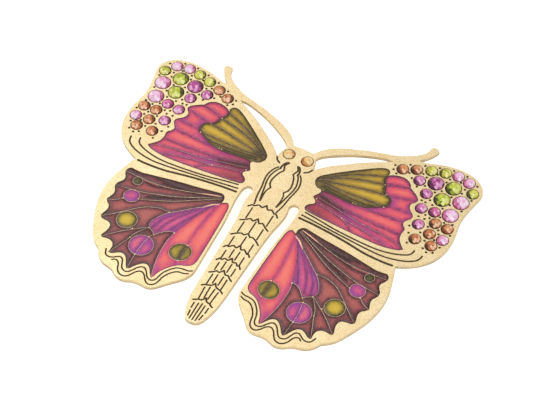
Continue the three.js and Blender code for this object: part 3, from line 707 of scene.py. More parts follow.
# ---------------------------------------------------------------- what the frame says

def box_mm(node):
    low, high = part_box(node)
    return np.array(low) / MM, np.array(high) / MM


def loops_at_top(node):
    """The closed edges of a node's highest flat face, in the plane."""
    mesh = NODES[node].data
    mesh.calc_loop_triangles()
    points = np.array([vertex.co for vertex in mesh.vertices]) / MM
    keys, index = np.unique(np.round(points, 3), axis=0, return_inverse=True)
    faces = index.reshape(-1)[np.array([triangle.vertices for triangle in mesh.loop_triangles])]
    top = keys[:, 2].max()
    level = faces[(np.abs(keys[faces][:, :, 2] - top) < WELD).all(axis=1)]
    return [keys[loop][:, :2] for loop in rim_loops(level)]


def crystal_places():
    """Every crystal node with its centre, radius and heights."""
    places = {}
    for node in sorted(NODES):
        if node.startswith(("crystal_", "eye_")):
            low, high = box_mm(node)
            centre = (low + high) / 2
            places[node] = (centre[0], centre[1], (high[1] - low[1]) / 2, low[2], high[2])
    return places


PLATE_BACK = box_mm("wing_plate")[0][2]
PLATE_FACE = box_mm("wing_plate")[1][2]
INLAY_FLOOR = box_mm("enamel_right_hindwing")[0][2]
INLAY_FACE = box_mm("enamel_right_hindwing")[1][2]
CRYSTAL_PLACES = crystal_places()
SEAT_FLOOR = min(place[3] for place in CRYSTAL_PLACES.values())
SEAT_GAP = 0.07
# A hole whose middle is nearer to a crystal's than this is that crystal's seat
SEAT_SEARCH = 0.2


# ---------------------------------------------------------------- plate

def plate_loops():
    """The plate's outline, its through gaps and its windows, from its top face."""
    loops = sorted(loops_at_top("wing_plate"), key=lambda loop: -abs(area_of(loop)))
    outline, rest = loops[0], loops[1:]
    centres = np.array([place[:2] for place in CRYSTAL_PLACES.values()])
    inlays = [loops_at_top(node)[0][0] for node in NODES if node.startswith("enamel_")]
    gaps, windows = [], []
    for loop in rest:
        middle = loop.mean(axis=0)
        if np.linalg.norm(centres - middle, axis=1).min() < SEAT_SEARCH:
            continue
        holds_inlay = inside(np.array(inlays), loop).any()
        (windows if holds_inlay else gaps).append(loop)
    return outline, gaps, windows


def grooves_both_sides():
    """Every groove and dash as (line, half width)."""
    lines = [(smooth(points, 0.3), GROOVE_WIDENING * width / 2) for width, points in GROOVES]
    half = GROOVE_WIDENING * DASH_WIDTH / 2
    lines += [(np.array([(x1, y1), (x2, y2)], float), half) for x1, y1, x2, y2 in DASHES]
    return lines + [(mirrored(line), half) for line, half in lines if abs(line[:, 0]).max() > 0.01]


def dots_both_sides():
    dots = np.array(DOTS) + np.array([DOT_SHIFT, 0])
    return np.concatenate([dots, mirrored(dots)])


def plate_relief(points, outline, gaps, windows, grooves, dots):
    """How far the plate's face drops at each point, and how dark it is there: patina in the grooves and
    dots, painted shade on the rim, the window edges and the crystal seats.
    """
    away = nearness(points, all_segments([outline, *gaps]))
    drop = rounded_fall(away, RIM)
    # painted shade along the rounded rim of the outline and the gaps
    patina_and_shade = RIM_PAINTED_SHADE * fade(away, RIM)

    away = nearness(points, all_segments(windows))
    within = np.any([inside(points, loop) for loop in windows], axis=0)
    bevel = WINDOW_BEVEL_DROP * fade(away, WINDOW_BEVEL)
    depth = PLATE_FACE - INLAY_FLOOR
    wall = WINDOW_BEVEL_DROP + (depth - WINDOW_BEVEL_DROP) * np.clip(away / WALL_LEAN, 0, 1)
    drop = np.maximum(drop, np.where(within, wall, bevel))
    # painted shade on the window bevels, and at full strength down the window walls
    patina_and_shade = np.maximum(patina_and_shade, np.where(within, 1, np.clip(1.5 * (1 - away / WINDOW_BEVEL), 0, 1)))

    for x, y, radius, _, _ in CRYSTAL_PLACES.values():
        away = np.hypot(points[:, 0] - x, points[:, 1] - y) - radius - SEAT_GAP
        bevel = SEAT_BEVEL * fade(away, SEAT_BEVEL)
        depth = PLATE_FACE - SEAT_FLOOR
        wall = SEAT_BEVEL + (depth - SEAT_BEVEL) * np.clip(-away / WALL_LEAN, 0, 1)
        drop = np.maximum(drop, np.where(away < 0, wall, bevel))
        # painted shade in the crystal seats and on their bevels
        patina_and_shade = np.maximum(patina_and_shade, fade(away, SEAT_BEVEL))

    edges = np.concatenate([segments_of(line) for line, _ in grooves])
    scale = np.concatenate([np.full(len(line) - 1, half) for line, half in grooves])
    away = np.clip((1 - nearness(points, edges, scale)) / (1 - GROOVE_FLOOR), 0, 1)
    drop = np.maximum(drop, GROOVE_DEPTH * away)
    patina_and_shade = np.maximum(patina_and_shade, away)

    away = np.linalg.norm(points[:, None, :] - dots, axis=2).min(axis=1) / DOT_RADIUS
    away = np.clip((1 - away) / (1 - DOT_FLOOR), 0, 1)
    return np.maximum(drop, DOT_DEPTH * away), np.maximum(patina_and_shade, away)


def plate_sketch(outline, gaps, windows, grooves, dots):
    sketch = Sketch()
    sketch.rings(outline, RIM_SHOULDER, RIM)
    for loop in gaps:
        sketch.rings(loop, -RIM_SHOULDER, -RIM)
    for loop in windows:
        sketch.rings(loop, WALL_LEAN, -WINDOW_BEVEL)
    for x, y, radius, _, _ in CRYSTAL_PLACES.values():
        for change in (SEAT_GAP - WALL_LEAN, SEAT_GAP, SEAT_GAP + SEAT_BEVEL):
            sketch.line(ellipse(x, y, radius + change, radius + change, sides=36), True)
    for line, half in grooves:
        sketch.line(band(line, half), True)
        sketch.line(band(line, half * GROOVE_FLOOR), True)
    for x, y in dots:
        for radius in (DOT_RADIUS, DOT_RADIUS * DOT_FLOOR):
            sketch.line(ellipse(x, y, radius, radius, sides=14), True)
    return sketch


def make_plate(material):
    outline, gaps, windows = plate_loops()
    grooves, dots = grooves_both_sides(), dots_both_sides()
    sketch = plate_sketch(outline, gaps, windows, grooves, dots)
    points, faces, _ = sketch.triangulated(outline, gaps)
    drop, patina_and_shade = plate_relief(points, outline, gaps, windows, grooves, dots)

    under = rim_sketch(points, faces)
    under.line(drawn_in(outline, RIM), True)
    for loop in gaps:
        under.line(drawn_in(loop, -RIM), True)
    flat, flat_faces, _ = under.triangulated(outline, gaps)
    lift = RIM * fade(nearness(flat, all_segments([outline, *gaps])), RIM)
    solid = between_sheets(with_heights(points, PLATE_FACE - drop), faces,
                           with_heights(flat, PLATE_BACK + lift), flat_faces)
    shades = {tuple(np.round(point, 2)): dark for point, dark in zip(points, patina_and_shade)}
    middle = (PLATE_BACK + PLATE_FACE) / 2
    dark = []
    for x, y, z in solid.vertices:
        # the side walls and the back's rounded edges get painted shade
        below = BACK_PATINA if z < PLATE_BACK + WELD else SIDE_PAINTED_SHADE
        dark.append(shades.get((round(x, 2), round(y, 2)), 0) if z > middle else below)
    attributes = {"patina_and_shade": ("FLOAT", "POINT", dark)}
    make_piece("etched_plate", solid, [material], "root", ["wing_plate"], attributes,
               crease=50, levels={PLATE_FACE: 1, PLATE_BACK: -1})


# ---------------------------------------------------------------- enamel inlays and their veins

def hex_grid(loop, step):
    low, high = loop.min(axis=0), loop.max(axis=0)
    rows = np.arange(low[1], high[1], step * math.sqrt(3) / 2)
    points = []
    for i, y in enumerate(rows):
        xs = np.arange(low[0] + (i % 2) * step / 2, high[0], step)
        points.extend((x, y) for x in xs)
    points = np.array(points)
    return points[inside(points, loop)]


def cells_of(faces, walls):
    """A cell number for each face. Faces that share an edge that isn't a wall are in one cell."""
    sharing = {}
    for number, face in enumerate(faces):
        for i in range(3):
            edge = tuple(sorted((int(face[i]), int(face[(i + 1) % 3]))))
            if edge not in walls:
                sharing.setdefault(edge, []).append(number)
    neighbours = [[] for _ in faces]
    for pair in sharing.values():
        if len(pair) == 2:
            neighbours[pair[0]].append(pair[1])
            neighbours[pair[1]].append(pair[0])
    cells = np.full(len(faces), -1)
    for number in range(len(faces)):
        if cells[number] >= 0:
            continue
        waiting = [number]
        cells[number] = number
        while waiting:
            for other in neighbours[waiting.pop()]:
                if cells[other] < 0:
                    cells[other] = number
                    waiting.append(other)
    return cells


def soft_ellipse(points, x, y, radius_x, radius_y, tilt):
    """1 at the middle of an ellipse, falling smoothly to almost 0 at twice its radii."""
    turn = math.radians(tilt)
    dx, dy = points[:, 0] - x, points[:, 1] - y
    u = (dx * math.cos(turn) + dy * math.sin(turn)) / radius_x
    v = (dy * math.cos(turn) - dx * math.sin(turn)) / radius_y
    return np.exp(-(u**2 + v**2))


def tint(points, window, attribute):
    total = np.zeros(len(points))
    for *place, strength in window["blobs"].get(attribute, []):
        total = np.maximum(total, strength * soft_ellipse(points, *place))
    return total


def window_lines(window):
    """The veins as lines, and the spots as closed loops."""
    veins = [smooth(points) for _, _, points in window["veins"]]
    rings = [ellipse(*spot[:5]) for spot in window["spots"]]
    return veins, rings


def inlay_mesh(outline, window):
    """An inlay with its relief: its solid, the enamel of each face, and what tints it."""
    veins, rings = window_lines(window)
    sketch = Sketch()
    sketch.line(outline, True)
    for line in veins:
        sketch.line(line)
    for ring in rings:
        sketch.line(ring, True)
    edges = np.concatenate([all_segments([outline, *rings]), *[segments_of(line) for line in veins]])
    grid = hex_grid(outline, INLAY_GRID)
    sketch.scatter(grid[nearness(grid, edges) > INLAY_MARGIN])
    points, faces, walls = sketch.triangulated(outline)
    away = nearness(points, edges)

    cells = cells_of(faces, walls)
    widest = np.full(len(points), WIDEST_RIM)
    for cell in np.unique(cells):
        corners = np.unique(faces[cells == cell])
        corners = corners[away[corners] > 1e-3]
        if len(corners):
            widest[corners] = np.minimum(WIDEST_RIM, max(away[corners].max(), 0.12))
    rim = np.clip(away / widest, 0, 1)

    centres = points[faces].mean(axis=1)
    enamel = np.full(len(faces), window["default"], object)
    for x, y, name in window["fields"]:
        nearest = int(np.linalg.norm(centres - (x, y), axis=1).argmin())
        enamel[cells == cells[nearest]] = name
    for spot, ring in zip(window["spots"], rings):
        enamel[inside(centres, ring)] = spot[5]

    top = INLAY_FACE - MENISCUS * np.exp(-((away / MENISCUS_WIDTH) ** 2))
    root = np.array(window["root"])
    offset = points - root
    reach = np.linalg.norm(offset, axis=1)
    flow = np.column_stack([np.arctan2(offset[:, 1], offset[:, 0]) * 9, reach * 0.22, np.zeros(len(reach))])
    values = {"rim": rim, "flow": flow}
    for kind in ("shade", "violet", "glow"):
        values[kind] = tint(points, window, kind)

    flat, flat_faces, _ = rim_sketch(points, faces).triangulated(outline)
    names = sorted(set(enamel))
    numbers = [names.index(name) for name in enamel]
    solid = between_sheets(with_heights(points, top), faces,
                           with_heights(flat, np.full(len(flat), INLAY_FLOOR)), flat_faces, numbers)
    order = {tuple(np.round(point, 3)): i for i, point in enumerate(points)}
    lookup = [order.get(tuple(np.round(vertex[:2], 3)), 0) for vertex in solid.vertices]
    return solid, names, {key: value[lookup] for key, value in values.items()}


def vein_mesh(window):
    """The raised veins, the rings round the spots, the gold drops and the bars coloured salmon as painted
    warm highlights.
    """
    solid = Solid()
    foot = INLAY_FACE - MENISCUS
    numbers = {"pale": 0, "violet": 1, "fine": 2, "ray": 2}
    for kind, width, points in window["veins"]:
        line = smooth(points)
        stroke(solid, line, width, foot, VEIN_HEIGHT, numbers[kind])
        if kind == "ray":
            stroke(solid, moved_aside(line, -RAY_GAP), RAY_WIDTH, foot, VEIN_HEIGHT, 0)
    for x, y, radius_x, radius_y, tilt, _ in window["spots"]:
        ring = ellipse(x, y, radius_x, radius_y, tilt)
        stroke(solid, ring, RING_WIDTH, foot, VEIN_HEIGHT, 0, closed=True)
    for x, y in window["beads"]:
        bead(solid, x, y, BEAD_RADIUS, foot, 3)
    # the bars' salmon colour is a painted highlight
    for width, points in window.get("painted_highlight_bars", []):
        stroke(solid, smooth(points), width, foot, VEIN_HEIGHT, 4)
    return solid


def mirrored_solid(solid):
    other = Solid()
    other.vertices = [(-x, y, z) for x, y, z in solid.vertices]
    other.faces = [face[::-1] for face in solid.faces]
    other.numbers = list(solid.numbers)
    return other


def make_windows(enamels, vein_materials):
    for name, window in WINDOWS.items():
        node = f"enamel_right_{name}"
        solid, names, values = inlay_mesh(loops_at_top(node)[0], window)
        veins = vein_mesh(window)
        materials = [enamels[enamel] for enamel in names]
        attributes = {key: ("FLOAT_VECTOR" if key == "flow" else "FLOAT", "POINT", value)
                      for key, value in values.items()}
        for side, sign in SIDES.items():
            inlay = solid if sign > 0 else mirrored_solid(solid)
            raised = veins if sign > 0 else mirrored_solid(veins)
            make_piece(f"inlay_{side}_{name}", inlay, materials, "root",
                       [f"enamel_{side}_{name}"], attributes, crease=60)
            make_piece(f"veins_{side}_{name}", raised, vein_materials, "root", [],
                       crease=80)


# ---------------------------------------------------------------- crystals

TABLE_SHARE = 0.56
MAIN_SHARE = 0.8
GIRDLE_HALF = 0.05
BACK_SHARE = 0.78
# For each side, the ways in degrees in which painted shade darkens the crown most and the painted highlight
# lies.
PAINTED_LIGHT_WAYS = {-1: (60, -56), 1: (205, -50)}
PAINTED_HIGHLIGHT_COSINE = 0.91
# Rings of facets from the middle outwards: where the ring ends as a share of the radius, the painted light
# of its highlight facet, its middle painted light, how much painted shade the shaded way takes off, and how
# much the painted light varies at random.
FACET_RINGS = [
    (TABLE_SHARE, 0.97, 0.56, 0.0, 0.36),
    (MAIN_SHARE, 0.85, 0.48, 0.32, 0.46),
    (math.inf, None, 0.22, 0.4, 0.4),
]


def crystal_solid(radius, low, high, turn):
    """A brilliant-cut crown with eight main facets, a girdle and a flat back."""
    solid = Solid()
    girdle_top, girdle_low = PLATE_FACE + GIRDLE_HALF, PLATE_FACE - GIRDLE_HALF
    table, main = TABLE_SHARE * radius, MAIN_SHARE * radius
    reach = main * math.cos(math.pi / 8)
    main_height = high + (girdle_top - high) * (reach - table) / (radius - table)

    def ring(r, height, count, offset=0.0):
        angles = [turn + 2 * math.pi * (i + offset) / count for i in range(count)]
        return [(r * math.cos(a), r * math.sin(a), height) for a in angles]

    tops = ring(table, high, 8)
    mains = ring(main, main_height, 8, 0.5)
    upper, lower = ring(radius, girdle_top, 16), ring(radius, girdle_low, 16)
    back = ring(BACK_SHARE * radius, low, 16)
    for i in range(8):
        j = (i + 1) % 8
        solid.add([(0, 0, high), tops[i], tops[j]], [(0, 1, 2)])
        solid.add([tops[i], mains[i], tops[j]], [(0, 1, 2)])
        solid.add([tops[i], mains[i - 1], upper[2 * i], mains[i]], [(0, 1, 2, 3)])
        solid.add([mains[i], upper[2 * i], upper[2 * i + 1]], [(0, 1, 2)])
        solid.add([mains[i], upper[2 * i + 1], upper[(2 * i + 2) % 16]], [(0, 1, 2)])
    for i in range(16):
        j = (i + 1) % 16
        solid.add([upper[i], lower[i], lower[j], upper[j]], [(0, 1, 2, 3)])
        solid.add([lower[i], back[i], back[j], lower[j]], [(0, 1, 2, 3)])
    solid.add(back, [tuple(range(16))[::-1]])
    return solid.welded()


def scatter_value(*numbers):
    """A number from 0 to 1 that looks random and is always the same for the same numbers."""
    total = sum(number * weight for number, weight in zip(numbers, (12.9898, 78.233, 37.719)))
    return math.sin(total) * 43758.5453 % 1


def painted_facet_shading(solid, radius, side, number):
    """Painted light and shade for each facet: a painted highlight on one wedge, painted shade on one side
    of the crown, and random painted reflections of the foil.
    """
    painted_shade_way, painted_highlight_way = (math.radians(angle) for angle in PAINTED_LIGHT_WAYS[side])
    painted_facet_lights = []
    for k, face in enumerate(solid.faces):
        x, y, _ = np.mean([solid.vertices[i] for i in face], axis=0)
        distance = math.hypot(x, y) / radius
        way = math.atan2(y, x)
        jitter = scatter_value(number, k, 1) - 0.5
        facet_ring = next(row for row in FACET_RINGS if distance < row[0])
        _, painted_highlight, middle, shading, change = facet_ring
        # painted shade darkest on one side, with random painted reflections
        tone = middle - shading * math.cos(way - painted_shade_way) + change * jitter
        # a painted highlight on one wedge of the table and star facets
        if painted_highlight and math.cos(way - painted_highlight_way) > PAINTED_HIGHLIGHT_COSINE:
            tone = painted_highlight
        painted_facet_lights.append(min(1, max(0, tone)))
    return painted_facet_lights


def make_crystals(materials):
    for number, (node, (x, y, radius, low, high)) in enumerate(CRYSTAL_PLACES.items()):
        side = -1 if x < 0 else 1
        colour = NODES[node].data.materials[0].name
        turn = 2 * math.pi * scatter_value(number, 5, 2)
        solid = crystal_solid(radius, low, high, turn)
        painted_facet_lights = painted_facet_shading(solid, radius, side, number)
        solid.placed(Matrix.Translation((x, y, 0)))
        name = node.replace("crystal", "stone").replace("eye", "eye_stone")
        make_piece(name, solid, [materials[colour]], "root", [node],
                   # each facet's painted light and shade, kept on the mesh
                   {"tone": ("FLOAT", "FACE", painted_facet_lights)}, crease=3)


# ---------------------------------------------------------------- materials

def srgb(red, green, blue):
    """A colour given as it looks on screen, 0 to 255, for a shader."""
    def linear(level):
        level /= 255
        return level / 12.92 if level <= 0.04045 else ((level + 0.055) / 1.055) ** 2.4
    return (linear(red), linear(green), linear(blue), 1)


class Shader:
    """A material's nodes, with short calls for the few kinds used here."""

    def __init__(self, name, **constants):
        self.material = bpy.data.materials.new(name)
        self.material.use_nodes = True
        self.tree = self.material.node_tree
        self.surface = self.tree.nodes["Principled BSDF"]
        for key, value in constants.items():
            self.surface.inputs[key.replace("_", " ")].default_value = value

    def feed(self, socket, value):
        if isinstance(value, bpy.types.NodeSocket):
            self.tree.links.new(value, socket)
        else:
            socket.default_value = value

    def node(self, kind, inputs=None, **settings):
        made = self.tree.nodes.new(kind)
        for key, value in settings.items():
            setattr(made, key, value)
        for key, value in (inputs or {}).items():
            self.feed(made.inputs[key], value)
        return made

    def place(self, stretch=(1, 1, 1)):
        """Position on the object in metres, stretched along each axis."""
        spot = self.node("ShaderNodeTexCoord").outputs["Object"]
        return self.node("ShaderNodeMapping", {"Vector": spot, "Scale": stretch}).outputs[0]

    def attribute(self, name, output="Fac"):
        return self.node("ShaderNodeAttribute", attribute_name=name).outputs[output]

    def noise(self, vector, scale, detail, roughness):
        inputs = {"Vector": vector, "Scale": scale, "Detail": detail, "Roughness": roughness}
        return self.node("ShaderNodeTexNoise", inputs).outputs["Fac"]

    def ramp(self, factor, stops):
        made = self.node("ShaderNodeValToRGB", {"Fac": factor})
        elements = made.color_ramp.elements
        while len(elements) < len(stops):
            elements.new(0.5)
        for element, (position, colour) in zip(elements, stops):
            element.position = position
            element.color = colour
        return made.outputs["Color"]

    def mix(self, factor, a, b):
        made = self.node("ShaderNodeMix", data_type="RGBA")
        for index, value in ((0, factor), (6, a), (7, b)):
            self.feed(made.inputs[index], value)
        return made.outputs[2]

    def math(self, operation, a, b):
        return self.node("ShaderNodeMath", {0: a, 1: b}, operation=operation).outputs[0]

    def spread(self, value, low, high, to_low=0.0, to_high=1.0):
        inputs = {"Value": value, "From Min": low, "From Max": high, "To Min": to_low, "To Max": to_high}
        return self.node("ShaderNodeMapRange", inputs).outputs[0]

    def bump(self, height, distance, strength):
        inputs = {"Height": height, "Distance": distance, "Strength": strength}
        return self.node("ShaderNodeBump", inputs).outputs[0]

    def finish(self, **inputs):
        for key, value in inputs.items():
            self.feed(self.surface.inputs[key.replace("_", " ")], value)
        return self.material


def plate_brass():
    """Pale brass, sandblasted to a fine even grain, with dark patina in the etched lines and painted shade
    on the rim, sides, window edges and crystal seats.
    """
    shader = Shader("sandblasted_brass")
    spot = shader.place()
    grain = shader.noise(spot, 5600, 1.0, 0.5)
    cloud = shader.noise(spot, 260, 4.0, 0.6)
    gold = shader.ramp(cloud, [(0.3, srgb(240, 216, 166)), (0.7, srgb(250, 230, 186))])
    speckle = shader.spread(grain, 0.5, 0.74)
    gold = shader.mix(shader.math("MULTIPLY", speckle, 0.8), gold, srgb(192, 158, 102))
    patina_and_shade = shader.attribute("patina_and_shade")
    mottled_patina_and_shade = shader.math("ADD", patina_and_shade, shader.spread(cloud, 0.2, 0.8, -0.1, 0.1))
    dark = shader.spread(mottled_patina_and_shade, 0.15, 0.6)
    # one dark colour for the patina in the etched lines and for the painted shade on edges, sides, window
    # walls and seats
    patina_and_shade_colour = shader.ramp(grain, [(0.3, srgb(60, 47, 26)), (0.7, srgb(98, 80, 46))])
    colour = shader.mix(dark, gold, patina_and_shade_colour)
    metal = shader.spread(dark, 0.0, 1.0, 1.0, 0.25)
    rough = shader.spread(dark, 0.0, 1.0, 0.46, 0.7)
    relief = shader.bump(grain, 0.00001, 0.5)
    return shader.finish(Base_Color=colour, Metallic=metal, Roughness=rough, Normal=relief)


def finding_brass():
    """Polished wire and strip, with drawn scratches along X and a little tarnish."""
    shader = Shader("polished_brass", Metallic=1.0)
    drawn = shader.noise(shader.place((1, 14, 14)), 900, 4.0, 0.6)
    cloud = shader.noise(shader.place(), 420, 4.0, 0.6)
    golds = [(0.3, srgb(196, 156, 92)), (0.55, srgb(226, 190, 122)), (0.8, srgb(238, 206, 142))]
    colour = shader.ramp(cloud, golds)
    colour = shader.mix(shader.spread(drawn, 0.4, 0.8, 0.0, 0.35), colour, srgb(150, 112, 60))
    rough = shader.spread(drawn, 0.3, 0.7, 0.2, 0.38)
    relief = shader.bump(drawn, 0.000006, 0.6)
    return shader.finish(Base_Color=colour, Roughness=rough, Normal=relief)


def enamel(name):
    """Translucent enamel: darker towards its edges, streaked along the veins, under a clear gloss."""
    shader = Shader(f"enamel_{name}", Coat_Weight=0.15, Coat_Roughness=0.06, IOR=1.4)
    stops = [srgb(*colour) for colour in ENAMELS[name]]
    shade, violet, glow = (srgb(*colour) for colour in TINTS[name])
    flow = shader.attribute("flow", "Vector")
    streaks = shader.noise(flow, 5.0, 4.0, 0.62)
    wash = shader.noise(shader.place(), 330, 3.0, 0.55)
    depth = shader.attribute("rim")
    depth = shader.math("ADD", depth, shader.spread(streaks, 0.25, 0.75, -0.22, 0.22))
    depth = shader.math("ADD", depth, shader.spread(wash, 0.25, 0.75, -0.08, 0.08))
    colour = shader.ramp(depth, list(zip((0.02, 0.3, 0.62, 0.95), stops)))
    for key, target in (("glow", glow), ("violet", violet), ("shade", shade)):
        amount = shader.math("MULTIPLY", shader.attribute(key), shader.spread(streaks, 0.2, 0.8, 0.7, 1.15))
        if key == "glow":
            amount = shader.math("MULTIPLY", amount, shader.spread(depth, 0.2, 0.8))
        colour = shader.mix(shader.math("MINIMUM", amount, 1.0), colour, target)
    fine = shader.noise(shader.place(), 3400, 2.0, 0.6)
    colour = shader.mix(shader.spread(fine, 0.5, 0.8, 0.0, 0.1), colour, srgb(255, 236, 214))
    relief = shader.bump(streaks, 0.00002, 0.35)
    rough = shader.spread(wash, 0.3, 0.7, 0.24, 0.4)
    return shader.finish(Base_Color=colour, Roughness=rough, Normal=relief)


def vein_metal(name, bright, dull):
    """A fine raised line of metal, half covered by enamel."""
    shader = Shader(name, Metallic=0.6)
    cloud = shader.noise(shader.place(), 1500, 3.0, 0.6)
    colour = shader.ramp(cloud, [(0.35, srgb(*dull)), (0.65, srgb(*bright))])
    relief = shader.bump(cloud, 0.00001, 0.5)
    rough = shader.spread(cloud, 0.3, 0.7, 0.3, 0.5)
    return shader.finish(Base_Color=colour, Roughness=rough, Normal=relief)


def crystal(name):
    """Foil-backed glass: each facet's colour comes from its painted light and shade, standing in for the
    foil's reflections.
    """
    shader = Shader(f"crystal_{name}", Coat_Weight=0.3, Coat_Roughness=0.02, IOR=1.45, Roughness=0.1)
    tone = shader.attribute("tone")
    ripple = shader.noise(shader.place(), 1500, 2.0, 0.5)
    tone = shader.math("ADD", tone, shader.spread(ripple, 0.3, 0.7, -0.07, 0.07))
    stops = [srgb(*colour) for colour in CRYSTALS[name]]
    # the ramp runs from painted shade to painted highlight
    colour = shader.ramp(tone, list(zip((0.08, 0.36, 0.64, 0.95), stops)))
    return shader.finish(Base_Color=colour, Metallic=0.15)


# ---------------------------------------------------------------- the finding on the back

FINDING_Y = 7.0
AXIS_Z = 1.5
HINGE_X, CATCH_X = -13.0, 13.0
BAR_HALF = (15.0, 2.0)
BAR_CORNER = 1.2
BAR_LOW, BAR_HIGH = 4.0, 4.6
BAR_HOLES = (-5.0, 5.0)
BAR_HOLE_RADIUS = 0.75
EAR_RADIUS, EAR_BORE = 1.5, 0.4
EAR_INNER, EAR_OUTER = 0.5, 1.0
EYE_OUTER, EYE_BORE, EYE_HALF = 0.9, 0.43, 0.45
RIVET_RADIUS, RIVET_HEAD, RIVET_DOME = 0.35, 0.62, 0.3
STEM_RADIUS, STEM_TAPER = 0.4, 3.4
STEM_TIP_X = 16.6
BARREL_HALF, BARREL_OUTER, BARREL_BORE, BARREL_MOUTH = 1.7, 1.5, 1.05, 1.1
NECK_HALF, NECK_LOW = 0.9, 1.17
SLEEVE_OUTER, SLEEVE_BORE, SLEEVE_MOUTH = 0.97, 0.55, 1.0
FLANGE_RADIUS, FLANGE_THICKNESS, COLLAR_THICKNESS = 1.3, 0.4, 0.7
SLEEVE_PLAY = 0.1
LEVER_REACH, LEVER_HALF, LEVER_ANGLE = 2.2, 0.35, -150


def along_x(solid, x):
    """A body drawn in (Y, Z) and built along its own Z, laid along X on the pin's axis."""
    return solid.placed(Matrix(((0, 0, 1, x), (1, 0, 0, FINDING_Y), (0, 1, 0, AXIS_Z), (0, 0, 0, 1))))


def along_y(solid, x):
    """A body drawn in (Z, X) and built along its own Z, laid along Y on the hinge's axis."""
    return solid.placed(Matrix(((0, 1, 0, x), (0, 0, 1, FINDING_Y), (1, 0, 0, AXIS_Z), (0, 0, 0, 1))))


def arc(radius, start, end, steps=24, centre=(0, 0)):
    angles = np.linspace(start, end, steps)
    return np.array(centre) + radius * np.column_stack([np.cos(angles), np.sin(angles)])


def all_of(*solids):
    whole = Solid()
    for solid in solids:
        whole.add(solid.vertices, solid.faces)
    return whole


def c_section(outer, bore, mouth):
    """A ring with a parallel-sided mouth that faces down."""
    down = -math.pi / 2
    wide, narrow = math.asin(mouth / 2 / outer), math.asin(mouth / 2 / bore)
    round_trip = 2 * math.pi
    return np.concatenate([arc(outer, down + wide, down + round_trip - wide, 44),
                           arc(bore, down + round_trip - narrow, down + narrow, 32)])


def finding_bar():
    """The strip with round corners and two holes, and the two ears of the hinge."""
    half_x, half_y = (half - BAR_CORNER for half in BAR_HALF)
    quarter = math.pi / 2
    corners = [(half_x, half_y), (-half_x, half_y), (-half_x, -half_y), (half_x, -half_y)]
    outline = np.concatenate([arc(BAR_CORNER, i * quarter, (i + 1) * quarter, 10, corner)
                              for i, corner in enumerate(corners)])
    holes = [ellipse(x, 0, BAR_HOLE_RADIUS, BAR_HOLE_RADIUS) for x in BAR_HOLES]
    strip = rounded_slab(outline, holes, BAR_LOW, BAR_HIGH).placed(Matrix.Translation((0, FINDING_Y, 0)))
    top = (BAR_LOW + BAR_HIGH) / 2 - AXIS_Z
    outline = np.concatenate([[(top, -EAR_RADIUS), (top, EAR_RADIUS)],
                              arc(EAR_RADIUS, quarter + 0.01, 3 * quarter - 0.01)])
    hole = ellipse(0, 0, EAR_BORE, EAR_BORE)
    ears = [along_y(rounded_slab(outline, [hole], low, low + EAR_OUTER - EAR_INNER), HINGE_X)
            for low in (EAR_INNER, -EAR_OUTER)]
    return all_of(strip, *ears)


def finding_rivet():
    """A pin with a domed head at each end."""
    head = [(RIVET_RADIUS, EAR_OUTER), (RIVET_HEAD - 0.03, EAR_OUTER), (RIVET_HEAD, EAR_OUTER + 0.03)]
    for share in (0.3, 0.5, 0.7, 0.85, 0.95, 1.0):
        radius = RIVET_HEAD * math.sqrt(max(0, 1 - share**2))
        head.append((radius, EAR_OUTER + RIVET_DOME * share))
    below = [(radius, -height) for radius, height in reversed(head)]
    return along_y(lathe(below + head), HINGE_X)


def finding_stem():
    """The eye round the rivet, and the round wire that tapers to a point."""
    ring = ellipse(0, 0, EYE_OUTER, EYE_OUTER, sides=48)
    eye = rounded_slab(ring, [ellipse(0, 0, EYE_BORE, EYE_BORE, sides=32)], -EYE_HALF, EYE_HALF, 0.14)
    start, end = (EYE_BORE + EYE_OUTER) / 2, STEM_TIP_X - HINGE_X
    profile = [(0, start), (STEM_RADIUS, start)]
    for share in np.linspace(0, 1, 14):
        profile.append((STEM_RADIUS * (1 - share**1.6), end - STEM_TAPER * (1 - share)))
    return all_of(along_y(eye, HINGE_X), along_x(lathe(profile, 32), HINGE_X))


def finding_housing():
    """The catch's barrel, open below, on a neck that stands on the bar."""
    barrel = rounded_slab(c_section(BARREL_OUTER, BARREL_BORE, BARREL_MOUTH), [], -BARREL_HALF, BARREL_HALF)
    top = BAR_LOW - AXIS_Z
    neck = np.array([(-NECK_HALF, NECK_LOW), (NECK_HALF, NECK_LOW), (NECK_HALF, top), (-NECK_HALF, top)])
    stand = rounded_slab(neck, [], -BARREL_HALF, BARREL_HALF)
    return all_of(along_x(barrel, CATCH_X), along_x(stand, CATCH_X))


def lever_solid(low, high):
    """The thumb lever, with a round end."""
    root = (SLEEVE_OUTER + FLANGE_RADIUS) / 2
    tip = arc(LEVER_HALF, -math.pi / 2, math.pi / 2, 16, (LEVER_REACH - LEVER_HALF, 0))
    lever = rounded_slab(np.concatenate([[(root, -LEVER_HALF)], tip, [(root, LEVER_HALF)]]), [], low, high)
    return lever.placed(Matrix.Rotation(math.radians(LEVER_ANGLE), 4, "Z"))


def finding_sleeve():
    """The turning sleeve: a slotted tube with a flange, and a collar that carries the lever."""
    inner, outer = -BARREL_HALF - SLEEVE_PLAY, BARREL_HALF + SLEEVE_PLAY
    low, high = inner - FLANGE_THICKNESS, outer + COLLAR_THICKNESS
    wide = c_section(FLANGE_RADIUS, SLEEVE_BORE, SLEEVE_MOUTH)
    tube = rounded_slab(c_section(SLEEVE_OUTER, SLEEVE_BORE, SLEEVE_MOUTH), [], low, high, 0.05)
    parts = [tube, rounded_slab(wide, [], low, inner), rounded_slab(wide, [], outer, high),
             lever_solid(outer, high)]
    return all_of(*[along_x(part, CATCH_X) for part in parts])


